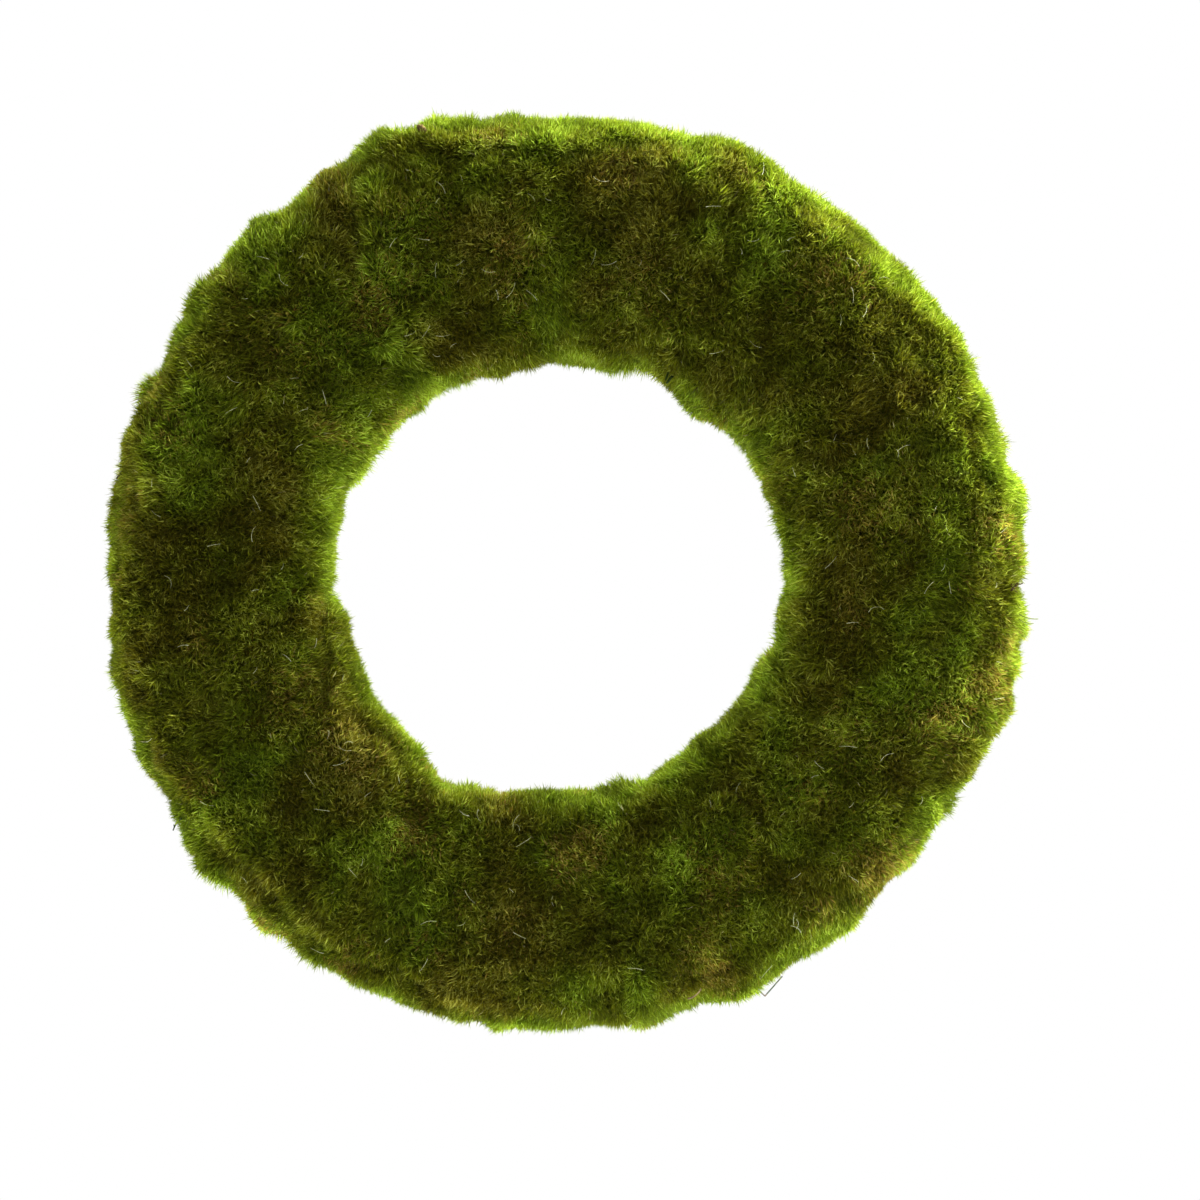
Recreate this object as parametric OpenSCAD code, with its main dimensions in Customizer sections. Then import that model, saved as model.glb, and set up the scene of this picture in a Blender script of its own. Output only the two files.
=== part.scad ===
// Moss wreath on a wire frame, standing upright with its face towards -Y.
// Each part is drawn lying down, with the wreath's axis along Z and its face up,
// and upright() turns it. Sections are drawn from the middle of the ring's width.

/* [Wreath] */
// Diameter of the wreath over the moss
wreath_d = 610; // [500:5:760]
// Width of the ring over the moss, from the outer edge to the hole
ring_w = 162; // [132:1:200]
// Depth of the wreath, from the frame's back to the moss at the front
wreath_depth = 90; // [74:1:112]

/* [Moss] */
// Thickness of a moss cushion, its base and its pile together
moss_t = 18.5; // [12:0.5:24]
// Squareness of the rounded section, where 2 is an ellipse
section_power = 2.4; // [2:0.1:3]
// Gap left between two neighbouring cushions where they meet at the hole
seam_gap = 0.75; // [0.5:0.05:2]
// Width of straw left open at the back between the folded moss edges
back_open_w = 62; // [48:1:76]
// How far the folded moss edges stay in front of the frame's back
fold_recess = 1.5; // [0.5:0.5:3]

/* [Frame] */
// Diameter of the frame's wire
frame_wire_d = 3.2; // [2.4:0.1:4.2]
// Distance between the outer and the inner wire ring
frame_w = 92; // [76:1:112]
// Distance between the two back wire rings
frame_back_w = 32; // [26:0.5:40]
// How far the outer and inner rings stand in front of the back rings
frame_rise = 19; // [14:0.5:24]
// Number of cross stays
stay_count = 8; // [8, 4]

/* [Straw and binding] */
// Rise of the straw's widest line in front of the outer ring
core_side_rise = 18; // [14:1:24]
// Diameter of the binding wire
binding_d = 0.9; // [0.5:0.1:1.6]
// Turns of binding wire round the frame and the straw
binding_turns = 24; // [24, 12]

/* [Pins] */
// Diameter of the wire of a greening pin
pin_wire_d = 1.2; // [0.8:0.1:1.6]
// Width of a greening pin between its legs
pin_w = 12; // [9:0.5:16]
// Length of a greening pin
pin_l = 40; // [30:1:48]
// Distance of the pins from the folded moss edge
pin_edge = 5; // [3:0.5:8]

/* [Hanging loop] */
// Diameter of the loop's wire
loop_wire_d = 1.8; // [1.4:0.1:2.4]
// Width of the loop between the middles of its two eyes
loop_w = 20; // [16:1:24]
// Clearance all round the ring wire in the eyes
eye_clearance = 0.35; // [0.2:0.05:0.6]
// Gap left between the hanging loop and the inner back ring
loop_end_gap = 4; // [3:0.5:6]

/* [Hidden] */
$fn = 64;

// Small gaps that keep neighbouring pieces from cutting into each other
weld_gap = 0.05;
rest_gap = 0.3;

// Angles of the seams between the moss cushions, anticlockwise from +X
SEAMS = [8, 41, 66, 97, 123, 158, 189, 214, 248, 279, 307, 338];
// How far each cushion stands out past the mean outer edge, hole edge and face
OUTER_BULGE = [1, -2, -3, 5, -1, -1, 0, 2, 0, 0, -3, 2];
HOLE_BULGE = [1, 4, 5, 4, -1, -5, -4, -8, -3, -2, 1, -1];
FACE_BULGE = [0, -1, 0, -1, 0, -2, -1, 0, 0, -1, 0, -1];

pad_count = len(SEAMS);
ring_mid_r = (wreath_d - ring_w) / 2;
back_z = -wreath_depth / 2;

// Centres of the wires, as [distance from the ring's middle, height]
back_ring_at = [frame_back_w / 2, back_z + frame_wire_d / 2];
side_ring_at = [frame_w / 2, back_ring_at.y + frame_rise];

// Unit normal of the frame's sloping side, towards the straw
slope = side_ring_at - back_ring_at;
slope_normal = [-slope.y, slope.x] / norm(slope);

// Straw core
core_half_w = ring_w / 2 - moss_t - binding_d - 2 * rest_gap;
core_side_z = side_ring_at.y + core_side_rise;
core_top_z = wreath_depth / 2 - moss_t - binding_d - 2 * rest_gap;

// Angle between two points of a rounded outline
curve_step = 7.5;

// Moss: its widest line lies a little behind the straw's, and its edges are folded round
moss_side_drop = 2;
moss_side_z = core_side_z - moss_side_drop;
moss_back_z = back_z + fold_recess;
fold_end = back_open_w / 2;
fold_round = 10;
seam_angle = 2 * asin(seam_gap / 2 / (ring_mid_r - ring_w / 2));

// Stays start beside the hanging loop, and turns of wire fall between pins
stay_start = 15;

// How far a straight wire runs on past a bend, as a share of its diameter
bend_overrun = 0.3;
turn_angle = 360 / binding_turns;

// Greening pins, one for every second space between turns of wire
pin_from_mid = fold_end + pin_edge;
pin_bend_r = 2;
pin_step = 2;
pin_count = binding_turns / pin_step;

// Hanging loop
loop_r = loop_w / 2;
eye_r = frame_wire_d / 2 + eye_clearance + loop_wire_d / 2;
hinge_y = sqrt(pow(ring_mid_r + back_ring_at.x, 2) - pow(loop_r, 2));
loop_end_y = ring_mid_r - back_ring_at.x + frame_wire_d / 2 + loop_end_gap + loop_wire_d / 2;
loop_leg_end_y = loop_end_y + loop_r;

// Loose end of the binding wire: the turn that it leaves, the angles from there to its three
// points, their heights past the moss's widest line, its reach past the moss and its bent tip
loose_end_turn = 19;
loose_end_angles = [1, 3, 6];
loose_end_heights = [6, 4, 10];
loose_end_reach = 6;
loose_end_tip = 7;

function pad_name(i) = str("moss_cushion_", i + 1);
function stay_name(i) = str("frame_stay_", i + 1);

// ---- Outlines of the sections ----

// Point of a rounded curve at angle t, with its own reach to the outer and the hole side
function curve_point(t, out_w, hole_w, h) = let (
        c = cos(t),
        s = sin(t),
        w = c > 0 ? out_w : hole_w
    ) [w * sign(c) * pow(abs(c), 2 / section_power), h * sign(s) * pow(abs(s), 2 / section_power)];

// Front curve from the outer side, over the crown, to the hole side
function front_curve(out_w, hole_w, side_z, top_z) = [
    for (t = [0 : curve_step : 180]) curve_point(t, out_w, hole_w, top_z - side_z) + [0, side_z]
];

function mirrored(p) = [-p.x, p.y];

// Straw core: it lies on the stays, parallel to the frame's sloping side
function core_outline() = let (
        lift = frame_wire_d * 3 / 2 + weld_gap + rest_gap,
        flat_z = back_ring_at.y + lift,
        on_slope = back_ring_at + slope_normal * lift,
        corner = on_slope + slope * (flat_z - on_slope.y) / slope.y,
        flank = side_ring_at + slope_normal * lift
    ) concat(
        front_curve(core_half_w, core_half_w, core_side_z, core_top_z),
        [mirrored(flank), mirrored(corner), corner, flank]
    );

// Line that a tight turn of wire follows round the frame and the straw, grown outwards
function bound_outline(grow) = let (
        around = frame_wire_d / 2 + weld_gap + grow,
        side = side_ring_at + [around, -around],
        back = back_ring_at + [around, -around]
    ) concat(
        front_curve(
            core_half_w + rest_gap + grow,
            core_half_w + rest_gap + grow,
            core_side_z,
            core_top_z + rest_gap + grow
        ),
        [mirrored(side), mirrored(back), back, side]
    );

// Outside of a moss cushion: face, flanks and the edges folded onto the back
function moss_outline(out_w, hole_w, top_z) = let (
        fold = fold_end + fold_round,
        under = moss_side_z - moss_back_z
    ) concat(
        front_curve(out_w, hole_w, moss_side_z, top_z),
        [
            for (t = [curve_step * 2 : curve_step * 2 : 90])
            [-fold - (hole_w - fold) * cos(t), moss_side_z - under * sin(t)]
        ],
        [
            for (t = [90 : -curve_step * 2 : curve_step * 2])
            [fold + (out_w - fold) * cos(t), moss_side_z - under * sin(t)]
        ]
    );

// ---- Helpers ----

module upright() {
    rotate([90, 0, 0]) children();
}

// Straight round wire between two points, run on past either end
module wire_run(from, to, d, past_from, past_to) {
    run = to - from;
    length = norm(run);
    translate(from - run / length * past_from)
        rotate([0, acos(run.z / length), atan2(run.y, run.x)])
            cylinder(d = d, h = length + past_from + past_to);
}

// Round wire through a list of points: at a bend, each straight runs on into the next
module bent_wire(points, d) {
    last = len(points) - 1;
    past = d * bend_overrun;
    for (i = [0 : last - 1])
        wire_run(points[i], points[i + 1], d, i > 0 ? past : 0, i < last - 1 ? past : 0);
}

// Point of the section placed at an angle round the wreath
function placed(at, angle) = [
    (ring_mid_r + at.x) * cos(angle),
    (ring_mid_r + at.x) * sin(angle),
    at.y
];

module frame_ring(at) {
    color("#2f4a33")
        upright()
            rotate_extrude()
                translate([ring_mid_r + at.x, at.y])
                    circle(d = frame_wire_d);
}

// ---- Frame ----

module frame_ring_outer() {
    frame_ring(side_ring_at);
}

module frame_ring_back_outer() {
    frame_ring(back_ring_at);
}

module frame_ring_back_inner() {
    frame_ring(mirrored(back_ring_at));
}

module frame_ring_inner() {
    frame_ring(mirrored(side_ring_at));
}

// Cross stay: a wire bent to the dish of the four rings, welded on their front side
module frame_stay(i) {
    lift = frame_wire_d + weld_gap;
    on_slope = back_ring_at + slope_normal * lift;
    corner = on_slope + slope * (back_ring_at.y + lift - on_slope.y) / slope.y;
    end = side_ring_at + slope_normal * lift + slope / norm(slope) * frame_wire_d;
    color("#2f4a33")
        upright()
            rotate([90, 0, stay_start + i * 360 / stay_count])
                translate([ring_mid_r, 0, 0])
                    bent_wire(
                        [for (p = [end, corner, mirrored(corner), mirrored(end)]) [p.x, p.y, 0]],
                        frame_wire_d
                    );
}

// ---- Straw and binding ----

module straw_core() {
    color("#b79a5b")
        upright()
            rotate_extrude()
                translate([ring_mid_r, 0])
                    polygon(core_outline());
}

// Turns of wire that tie the straw into the frame
module binding_wire() {
    color("#3d4f35")
        upright()
            for (i = [0 : binding_turns - 1])
                rotate([90, 0, (i + 0.5) * turn_angle])
                    translate([ring_mid_r, 0, -binding_d / 2])
                        linear_extrude(height = binding_d)
                            difference() {
                                polygon(bound_outline(binding_d));
                                polygon(bound_outline(0));
                            }
}

// Bent end of the binding wire, which comes out through the moss at the lower right
module binding_wire_end() {
    turn = (loose_end_turn + 0.5) * turn_angle;
    inside = ring_w / 2 - moss_t + binding_d;
    outside = ring_w / 2 + loose_end_reach;
    reach = [inside, outside, outside - loose_end_tip];
    color("#3d4f35")
        upright()
            bent_wire(
                [
                    for (i = [0 : 2])
                    placed([reach[i], moss_side_z + loose_end_heights[i]], turn + loose_end_angles[i])
                ],
                binding_d
            );
}

// ---- Moss ----

module moss_cushion(i) {
    next_seam = i < pad_count - 1 ? SEAMS[i + 1] : SEAMS[0] + 360;
    color("#5d7a1c")
        upright()
            rotate([0, 0, SEAMS[i] + seam_angle / 2])
                rotate_extrude(angle = next_seam - SEAMS[i] - seam_angle)
                    translate([ring_mid_r, 0])
                        difference() {
                            polygon(moss_outline(
                                ring_w / 2 + OUTER_BULGE[i],
                                ring_w / 2 + HOLE_BULGE[i],
                                wreath_depth / 2 + FACE_BULGE[i]
                            ));
                            polygon(bound_outline(binding_d + rest_gap));
                            translate([-fold_end, 2 * back_z])
                                square([back_open_w, core_side_z - 2 * back_z]);
                        }
}

// ---- Pins ----

// Greening pin: a staple with its crown along X, and two legs that point towards Y
module greening_pin() {
    half = pin_w / 2 - pin_bend_r;
    translate([-half, 0, 0])
        rotate([0, 90, 0])
            cylinder(d = pin_wire_d, h = 2 * half);
    for (side = [0, 1])
        mirror([side, 0, 0]) {
            translate([half, pin_bend_r, 0])
                rotate([0, 0, -90])
                    rotate_extrude(angle = 90)
                        translate([pin_bend_r, 0])
                            circle(d = pin_wire_d);
            translate([pin_w / 2, pin_bend_r, 0])
                rotate([-90, 0, 0])
                    cylinder(d = pin_wire_d, h = pin_l - pin_bend_r);
        }
}

// Pins round the wreath, pushed in along Z between two turns of the binding wire
module pin_row(from_mid) {
    color("#7d7f7c")
        upright()
            for (i = [0 : pin_count - 1])
                rotate([0, 0, i * pin_step * turn_angle])
                    translate([ring_mid_r + from_mid, 0, moss_back_z])
                        rotate([90, 0, 90])
                            greening_pin();
}

module greening_pins_outer() {
    pin_row(pin_from_mid);
}

module greening_pins_inner() {
    pin_row(-pin_from_mid);
}

// ---- Hanging loop ----

// Wire loop that swings on the outer back ring at the top, with an eye at each end
module hanging_loop() {
    color("#8a8c88")
        upright()
            translate([0, 0, back_ring_at.y]) {
                for (side = [-1, 1])
                    translate([side * loop_r, 0, 0]) {
                        translate([0, hinge_y, 0])
                            rotate([0, 90, 0])
                                rotate_extrude()
                                    translate([eye_r, 0])
                                        circle(d = loop_wire_d);
                        translate([0, loop_leg_end_y, 0])
                            rotate([-90, 0, 0])
                                cylinder(d = loop_wire_d, h = hinge_y - eye_r - loop_leg_end_y);
                    }
                translate([0, loop_leg_end_y, 0])
                    rotate([0, 0, 180])
                        rotate_extrude(angle = 180)
                            translate([loop_r, 0])
                                circle(d = loop_wire_d);
            }
}

frame_ring_outer();
frame_ring_back_outer();
frame_ring_back_inner();
frame_ring_inner();
for (i = [0 : stay_count - 1])
    frame_stay(i);
straw_core();
binding_wire();
binding_wire_end();
for (i = [0 : pad_count - 1])
    moss_cushion(i);
greening_pins_outer();
greening_pins_inner();
hanging_loop();
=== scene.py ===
"""Looks of a moss wreath: cushion moss on a wire frame that is packed with straw.

The wreath stands upright. Its axis runs along Y, the moss face looks towards -Y and +Z is up.
Most shapes are worked out in the ring's own terms: an angle round the wreath, a distance out
from the middle of the ring's width, and a height towards the face.
"""

import logging
import math
from dataclasses import dataclass, field
from enum import Enum

import bmesh
import bpy
import numpy as np
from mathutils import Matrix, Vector


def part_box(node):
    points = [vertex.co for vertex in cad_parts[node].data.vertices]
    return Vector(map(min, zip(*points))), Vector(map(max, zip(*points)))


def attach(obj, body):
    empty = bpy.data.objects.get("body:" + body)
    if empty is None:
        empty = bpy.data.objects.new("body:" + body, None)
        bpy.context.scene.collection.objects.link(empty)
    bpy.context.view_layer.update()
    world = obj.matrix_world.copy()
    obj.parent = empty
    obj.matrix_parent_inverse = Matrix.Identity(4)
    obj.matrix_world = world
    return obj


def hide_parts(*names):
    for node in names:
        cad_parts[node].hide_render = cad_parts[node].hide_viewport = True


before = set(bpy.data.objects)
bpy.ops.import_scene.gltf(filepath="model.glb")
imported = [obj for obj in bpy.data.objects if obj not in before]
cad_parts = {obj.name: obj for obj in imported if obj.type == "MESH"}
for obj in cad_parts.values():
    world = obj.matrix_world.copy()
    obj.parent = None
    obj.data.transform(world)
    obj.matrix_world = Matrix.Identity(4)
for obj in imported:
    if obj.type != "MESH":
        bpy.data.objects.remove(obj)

LOG = logging.getLogger("moss_wreath")
SEED = 24
WREATH = "wreath"
LOOP = "hanging_loop"
MM = 0.001


# ---------------------------------------------------------------- shader building


class Value:
    """A shader socket that can be added to, multiplied and so on, as a number can."""

    def __init__(self, kit: "NodeKit", socket: bpy.types.NodeSocket) -> None:
        """Wraps a socket.

        Args:
            kit: The node kit that made it.
            socket: An output socket.
        """
        self.kit = kit
        self.socket = socket

    def _math(self, operation: str, left: object, right: object) -> "Value":
        """One Math node on two values."""
        return self.kit.add("ShaderNodeMath", {"operation": operation}, {0: left, 1: right})

    def __add__(self, other: object) -> "Value":
        """self + other."""
        return self._math("ADD", self, other)

    __radd__ = __add__

    def __sub__(self, other: object) -> "Value":
        """self - other."""
        return self._math("SUBTRACT", self, other)

    def __rsub__(self, other: object) -> "Value":
        """other - self."""
        return self._math("SUBTRACT", other, self)

    def __mul__(self, other: object) -> "Value":
        """self * other."""
        return self._math("MULTIPLY", self, other)

    __rmul__ = __mul__

    def through(self, operation: str) -> "Value":
        """One Math node on this value alone, such as FLOOR, FRACT or SINE."""
        return self.kit.add("ShaderNodeMath", {"operation": operation}, {0: self})

    def rise(self, low: float, high: float) -> "Value":
        """A smooth step from 0 at low to 1 at high."""
        settings = {"interpolation_type": "SMOOTHSTEP"}
        return self.kit.add("ShaderNodeMapRange", settings, {0: self, 1: low, 2: high})


class NodeKit:
    """Builds one material's nodes."""

    def __init__(self, name: str) -> None:
        """Makes an empty material that uses nodes.

        Args:
            name: The material's name.
        """
        self.material = bpy.data.materials.new(name)
        self.material.use_nodes = True
        self.tree = self.material.node_tree
        self.tree.nodes.clear()

    def node(self, kind: str, settings: dict, inputs: dict) -> bpy.types.Node:
        """Adds one node.

        Args:
            kind: The node's type.
            settings: Its properties, which are set first. "stops" fills a colour ramp, and
                "constant" keeps each of its colours up to the next stop.
            inputs: Numbers, colours or Values for its sockets, by name or number.

        Returns:
            The new node.
        """
        made = self.tree.nodes.new(kind)
        for key, value in settings.items():
            if key == "stops":
                self._fill_ramp(made.color_ramp, value)
            elif key == "constant":
                made.color_ramp.interpolation = "CONSTANT"
            else:
                setattr(made, key, value)
        for key, value in inputs.items():
            if isinstance(value, Value):
                self.tree.links.new(value.socket, made.inputs[key])
            else:
                made.inputs[key].default_value = value
        return made

    def add(self, kind: str, settings: dict, inputs: dict, output: object = 0) -> Value:
        """Adds one node and gives one of its outputs.

        Args:
            kind: The node's type.
            settings: Its properties.
            inputs: Numbers, colours or Values for its sockets.
            output: The name or number of the output.

        Returns:
            The output as a Value.
        """
        return Value(self, self.node(kind, settings, inputs).outputs[output])

    @staticmethod
    def _fill_ramp(ramp: bpy.types.ColorRamp, stops: list) -> None:
        """Gives a colour ramp its stops.

        Args:
            ramp: The ramp of a node.
            stops: Pairs of a place and a colour.
        """
        while len(ramp.elements) > 1:
            ramp.elements.remove(ramp.elements[-1])
        for i, (place, colour) in enumerate(stops):
            element = ramp.elements[0] if i == 0 else ramp.elements.new(place)
            element.position = place
            element.color = (*colour, 1.0)

    def ramp(self, factor: Value, stops: list) -> Value:
        """A colour that follows a factor through stops."""
        return self.add("ShaderNodeValToRGB", {"stops": stops}, {0: factor}, "Color")

    def mix(self, factor: object, first: object, second: object, blend: str = "MIX") -> Value:
        """Mixes two colours.

        Args:
            factor: How much of the second.
            first: A colour or a Value.
            second: A colour or a Value.
            blend: Blender's name for the way they mix.

        Returns:
            The mixed colour.
        """
        settings = {"data_type": "RGBA", "blend_type": blend, "clamp_factor": True}
        pair = [x if isinstance(x, Value) else (*x, 1.0) for x in (first, second)]
        inputs = {0: factor, 6: pair[0], 7: pair[1]}
        return self.add("ShaderNodeMix", settings, inputs, 2)

    def place(self, scale: tuple[float, float, float] = (1.0, 1.0, 1.0)) -> Value:
        """Object coordinates, stretched by a scale."""
        coordinates = self.add("ShaderNodeTexCoord", {}, {}, "Object")
        return self.add("ShaderNodeMapping", {}, {"Vector": coordinates, "Scale": scale})

    def own_map(self, name: str) -> tuple[Value, Value]:
        """The two parts of the piece's own UV map.

        Args:
            name: The map's name.

        Returns:
            Its u and its v.
        """
        uv = self.add("ShaderNodeUVMap", {"uv_map": name}, {})
        parts = self.node("ShaderNodeSeparateXYZ", {}, {0: uv})
        return Value(self, parts.outputs[0]), Value(self, parts.outputs[1])

    def noise(self, vector: Value, scale: float, detail: float = 3.0, rough: float = 0.55) -> Value:
        """Soft noise.

        Args:
            vector: Where it is read.
            scale: Features to a metre.
            detail: Octaves.
            rough: Strength of the finer octaves.

        Returns:
            The noise, from 0 to 1.
        """
        inputs = {"Vector": vector, "Scale": scale, "Detail": detail, "Roughness": rough}
        return self.add("ShaderNodeTexNoise", {"noise_dimensions": "3D"}, inputs)

    def bump(self, height: Value, strength: float, distance: float) -> Value:
        """A bumped normal."""
        inputs = {"Height": height, "Strength": strength, "Distance": distance}
        return self.add("ShaderNodeBump", {}, inputs, "Normal")

    def surface(self, inputs: dict) -> bpy.types.Node:
        """A Principled shader."""
        return self.node("ShaderNodeBsdfPrincipled", {}, inputs)

    def finish(self, shader: bpy.types.Node) -> bpy.types.Material:
        """Links a shader to the output.

        Args:
            shader: The shader's node.

        Returns:
            The finished material.
        """
        output = self.node("ShaderNodeOutputMaterial", {}, {})
        self.tree.links.new(shader.outputs[0], output.inputs["Surface"])
        return self.material


Colour = tuple[float, float, float]


@dataclass(frozen=True)
class BladeFinish:
    """Moss blades: the map's u holds a blade's tone and its step of painted light and shade, and v runs
    root to tip.
    """

    name: str = "moss_blades"
    map_name: str = "OFBake"
    # Dark root colour: partly the moss's own darker old growth, partly painted shade deep in the pile.
    root: Colour = (0.055, 0.050, 0.004)
    young: Colour = (0.430, 0.385, 0.014)
    green: Colour = (0.560, 0.690, 0.020)
    lime: Colour = (0.660, 1.000, 0.036)
    olive: Colour = (0.860, 0.720, 0.070)
    brown: Colour = (0.740, 0.480, 0.070)
    straw: Colour = (1.000, 0.950, 0.420)
    # Painted highlight: pale glint colour mixed into the brightest blades.
    glint: Colour = (0.560, 0.610, 0.150)
    # Pale tip colour: painted highlight on the blade ends.
    tip: Colour = (0.620, 0.680, 0.140)
    glow: float = 0.38
    shine: float = 0.10
    roughness: float = 0.60
    tones: int = 40
    shade: float = 0.4
    lights: tuple[float, ...] = (0.48, 0.74, 1.00, 1.42, 2.40)

    def make(self) -> bpy.types.Material:
        """Builds the material.

        Returns:
            A Principled surface mixed with light that comes through the blade.
        """
        kit = NodeKit(self.name)
        across, height = kit.own_map(self.map_name)
        column = across * self.tones
        tone = column.through("FLOOR") * (1 / self.tones)
        light = column.through("FRACT")
        colours = (self.young, self.green, self.lime, self.olive, self.brown, self.straw)
        stops = list(zip((0.00, 0.28, 0.52, 0.66, 0.82, 1.00), colours))
        steps = len(self.lights)
        # Painted light and shade: each step of lights is a lit or shaded copy of the blade colour, from
        # dark to bright.
        shades = [(i / steps, (self.shade * step,) * 3) for i, step in enumerate(self.lights)]
        lit = kit.add("ShaderNodeValToRGB", {"stops": shades, "constant": True}, {0: light}, "Color")
        # Painted highlight: the brightest step of lights is mixed towards the glint colour.
        glinted = kit.mix((light - 0.70).rise(0.0, 0.05) * 0.40, kit.ramp(tone, stops), self.glint)
        leaf = kit.mix(1.0, glinted, lit, "MULTIPLY")
        # Darker towards the root: partly the moss's own colour, partly painted shade deep in the pile.
        # Paler at the tip: painted highlight.
        low = kit.mix(0.70, leaf, self.root)
        body = kit.mix(height.rise(0.02, 0.62), low, leaf)
        pale = kit.mix(0.30, body, self.tip)
        colour = kit.mix(height.rise(0.72, 1.0) * 0.8, body, pale)
        inputs = {"Base Color": colour, "Roughness": self.roughness, "Specular IOR Level": self.shine}
        skin = kit.surface(inputs)
        through = kit.node("ShaderNodeBsdfTranslucent", {}, {"Color": colour})
        mixed = kit.node("ShaderNodeMixShader", {}, {0: self.glow})
        kit.tree.links.new(skin.outputs[0], mixed.inputs[1])
        kit.tree.links.new(through.outputs[0], mixed.inputs[2])
        return kit.finish(mixed)


@dataclass(frozen=True)
class MatFinish:
    """The matted base that the moss blades grow from."""

    name: str = "moss_mat"
    dark: Colour = (0.045, 0.055, 0.004)
    olive: Colour = (0.110, 0.130, 0.007)
    rust: Colour = (0.130, 0.085, 0.010)
    roughness: float = 0.9
    shine: float = 0.05

    def make(self) -> bpy.types.Material:
        """Builds the material.

        Returns:
            The finished material.
        """
        kit = NodeKit(self.name)
        place = kit.place()
        broad = kit.noise(place, 38.0, 3.0)
        fine = kit.noise(place, 420.0, 4.0, 0.65)
        base = kit.mix(fine.rise(0.35, 0.65), self.dark, self.olive)
        colour = kit.mix(broad.rise(0.50, 0.72) * fine.rise(0.30, 0.62), base, self.rust)
        normal = kit.bump(fine, 0.9, 0.0012)
        inputs = {
            "Base Color": colour,
            "Roughness": self.roughness,
            "Specular IOR Level": self.shine,
            "Normal": normal,
        }
        return kit.finish(kit.surface(inputs))


@dataclass(frozen=True)
class StrawFinish:
    """Packed dry straw."""

    name: str
    pale: Colour = (0.300, 0.210, 0.075)
    gold: Colour = (0.210, 0.125, 0.034)
    brown: Colour = (0.075, 0.038, 0.011)

    def make(self) -> bpy.types.Material:
        """Builds the material.

        Returns:
            The finished material.
        """
        kit = NodeKit(self.name)
        place = kit.place()
        grain = kit.noise(place, 260.0, 4.0, 0.6)
        tone = (kit.noise(place, 60.0, 3.0) * 0.7 + grain * 0.3).rise(0.30, 0.75)
        stops = [(0.0, self.brown), (0.35, self.gold), (0.80, self.pale), (1.0, self.pale)]
        colour = kit.ramp(tone, stops)
        rough = grain * 0.25 + 0.42
        normal = kit.bump(grain, 0.5, 0.0005)
        inputs = {"Base Color": colour, "Roughness": rough, "Normal": normal}
        return kit.finish(kit.surface(inputs))


@dataclass(frozen=True)
class StrawStalkFinish:
    """Loose straw: the map's u is a stalk's own shade and v runs along it."""

    name: str = "straw_stalks"
    map_name: str = "OFBake"
    columns: int = 48
    joints: float = 2.6
    grooves: float = 25.0
    dark: Colour = (0.085, 0.042, 0.011)
    gold: Colour = (0.230, 0.140, 0.038)
    pale: Colour = (0.360, 0.260, 0.095)

    def make(self) -> bpy.types.Material:
        """Builds the material.

        Returns:
            The finished material.
        """
        kit = NodeKit(self.name)
        across, along = kit.own_map(self.map_name)
        column = (across * self.columns).through("FLOOR")
        fleck = (column * 12.9898).through("SINE")
        shade = (fleck * 43.7585 + 50).through("FRACT")
        stops = [(0.0, self.dark), (0.30, self.gold), (0.85, self.pale)]
        base = kit.ramp(shade, stops)
        joint = (along * self.joints + shade).through("FRACT")
        ringed = 1 - joint.rise(0.02, 0.06) * (1 - joint.rise(0.94, 0.98))
        streak = (across * self.columns * self.grooves).through("SINE")
        shaded = kit.mix(ringed * 0.6, base, self.dark)
        colour = kit.mix((streak * 0.5 + 0.5) * 0.22, shaded, self.dark)
        return kit.finish(kit.surface({"Base Color": colour, "Roughness": 0.5}))


@dataclass(frozen=True)
class WireFinish:
    """Drawn wire, bare or lacquered, with worn and dulled places."""

    name: str
    skin: Colour
    worn: Colour
    metal: float
    wear: float
    roughness: float
    coat: float = 0.0

    def make(self) -> bpy.types.Material:
        """Builds the material.

        Returns:
            The finished material.
        """
        kit = NodeKit(self.name)
        place = kit.place()
        blotch = kit.noise(place, 55.0, 4.0, 0.6)
        scratch = kit.noise(place, 900.0, 3.0, 0.7)
        worn = (blotch * 0.6 + scratch * 0.4).rise(1.0 - self.wear - 0.45, 1.0 - self.wear - 0.30)
        shade = kit.mix(scratch.rise(0.3, 0.7) * 0.35, self.skin, tuple(0.6 * c for c in self.skin))
        inputs = {
            "Base Color": kit.mix(worn, shade, self.worn),
            "Metallic": worn * (1.0 - self.metal) + self.metal,
            "Roughness": scratch * 0.22 + self.roughness,
            "Coat Weight": self.coat,
            "Normal": kit.bump(scratch, 0.25, 0.0002),
        }
        return kit.finish(kit.surface(inputs))


@dataclass(frozen=True)
class BarkFinish:
    """Dull rough skin of what is caught in the moss: twigs, sprigs, husks, blades and fibres."""

    name: str
    dark: Colour = (0.012, 0.008, 0.004)
    light: Colour = (0.060, 0.036, 0.014)
    roughness: float = 0.85
    shine: float = 0.03

    def make(self) -> bpy.types.Material:
        """Builds the material.

        Returns:
            The finished material.
        """
        kit = NodeKit(self.name)
        place = kit.place()
        grain = kit.noise(place, 700.0, 4.0, 0.65)
        colour = kit.mix(grain.rise(0.3, 0.7), self.dark, self.light)
        normal = kit.bump(grain, 0.8, 0.0006)
        inputs = {
            "Base Color": colour,
            "Roughness": self.roughness,
            "Specular IOR Level": self.shine,
            "Normal": normal,
        }
        return kit.finish(kit.surface(inputs))


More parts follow.
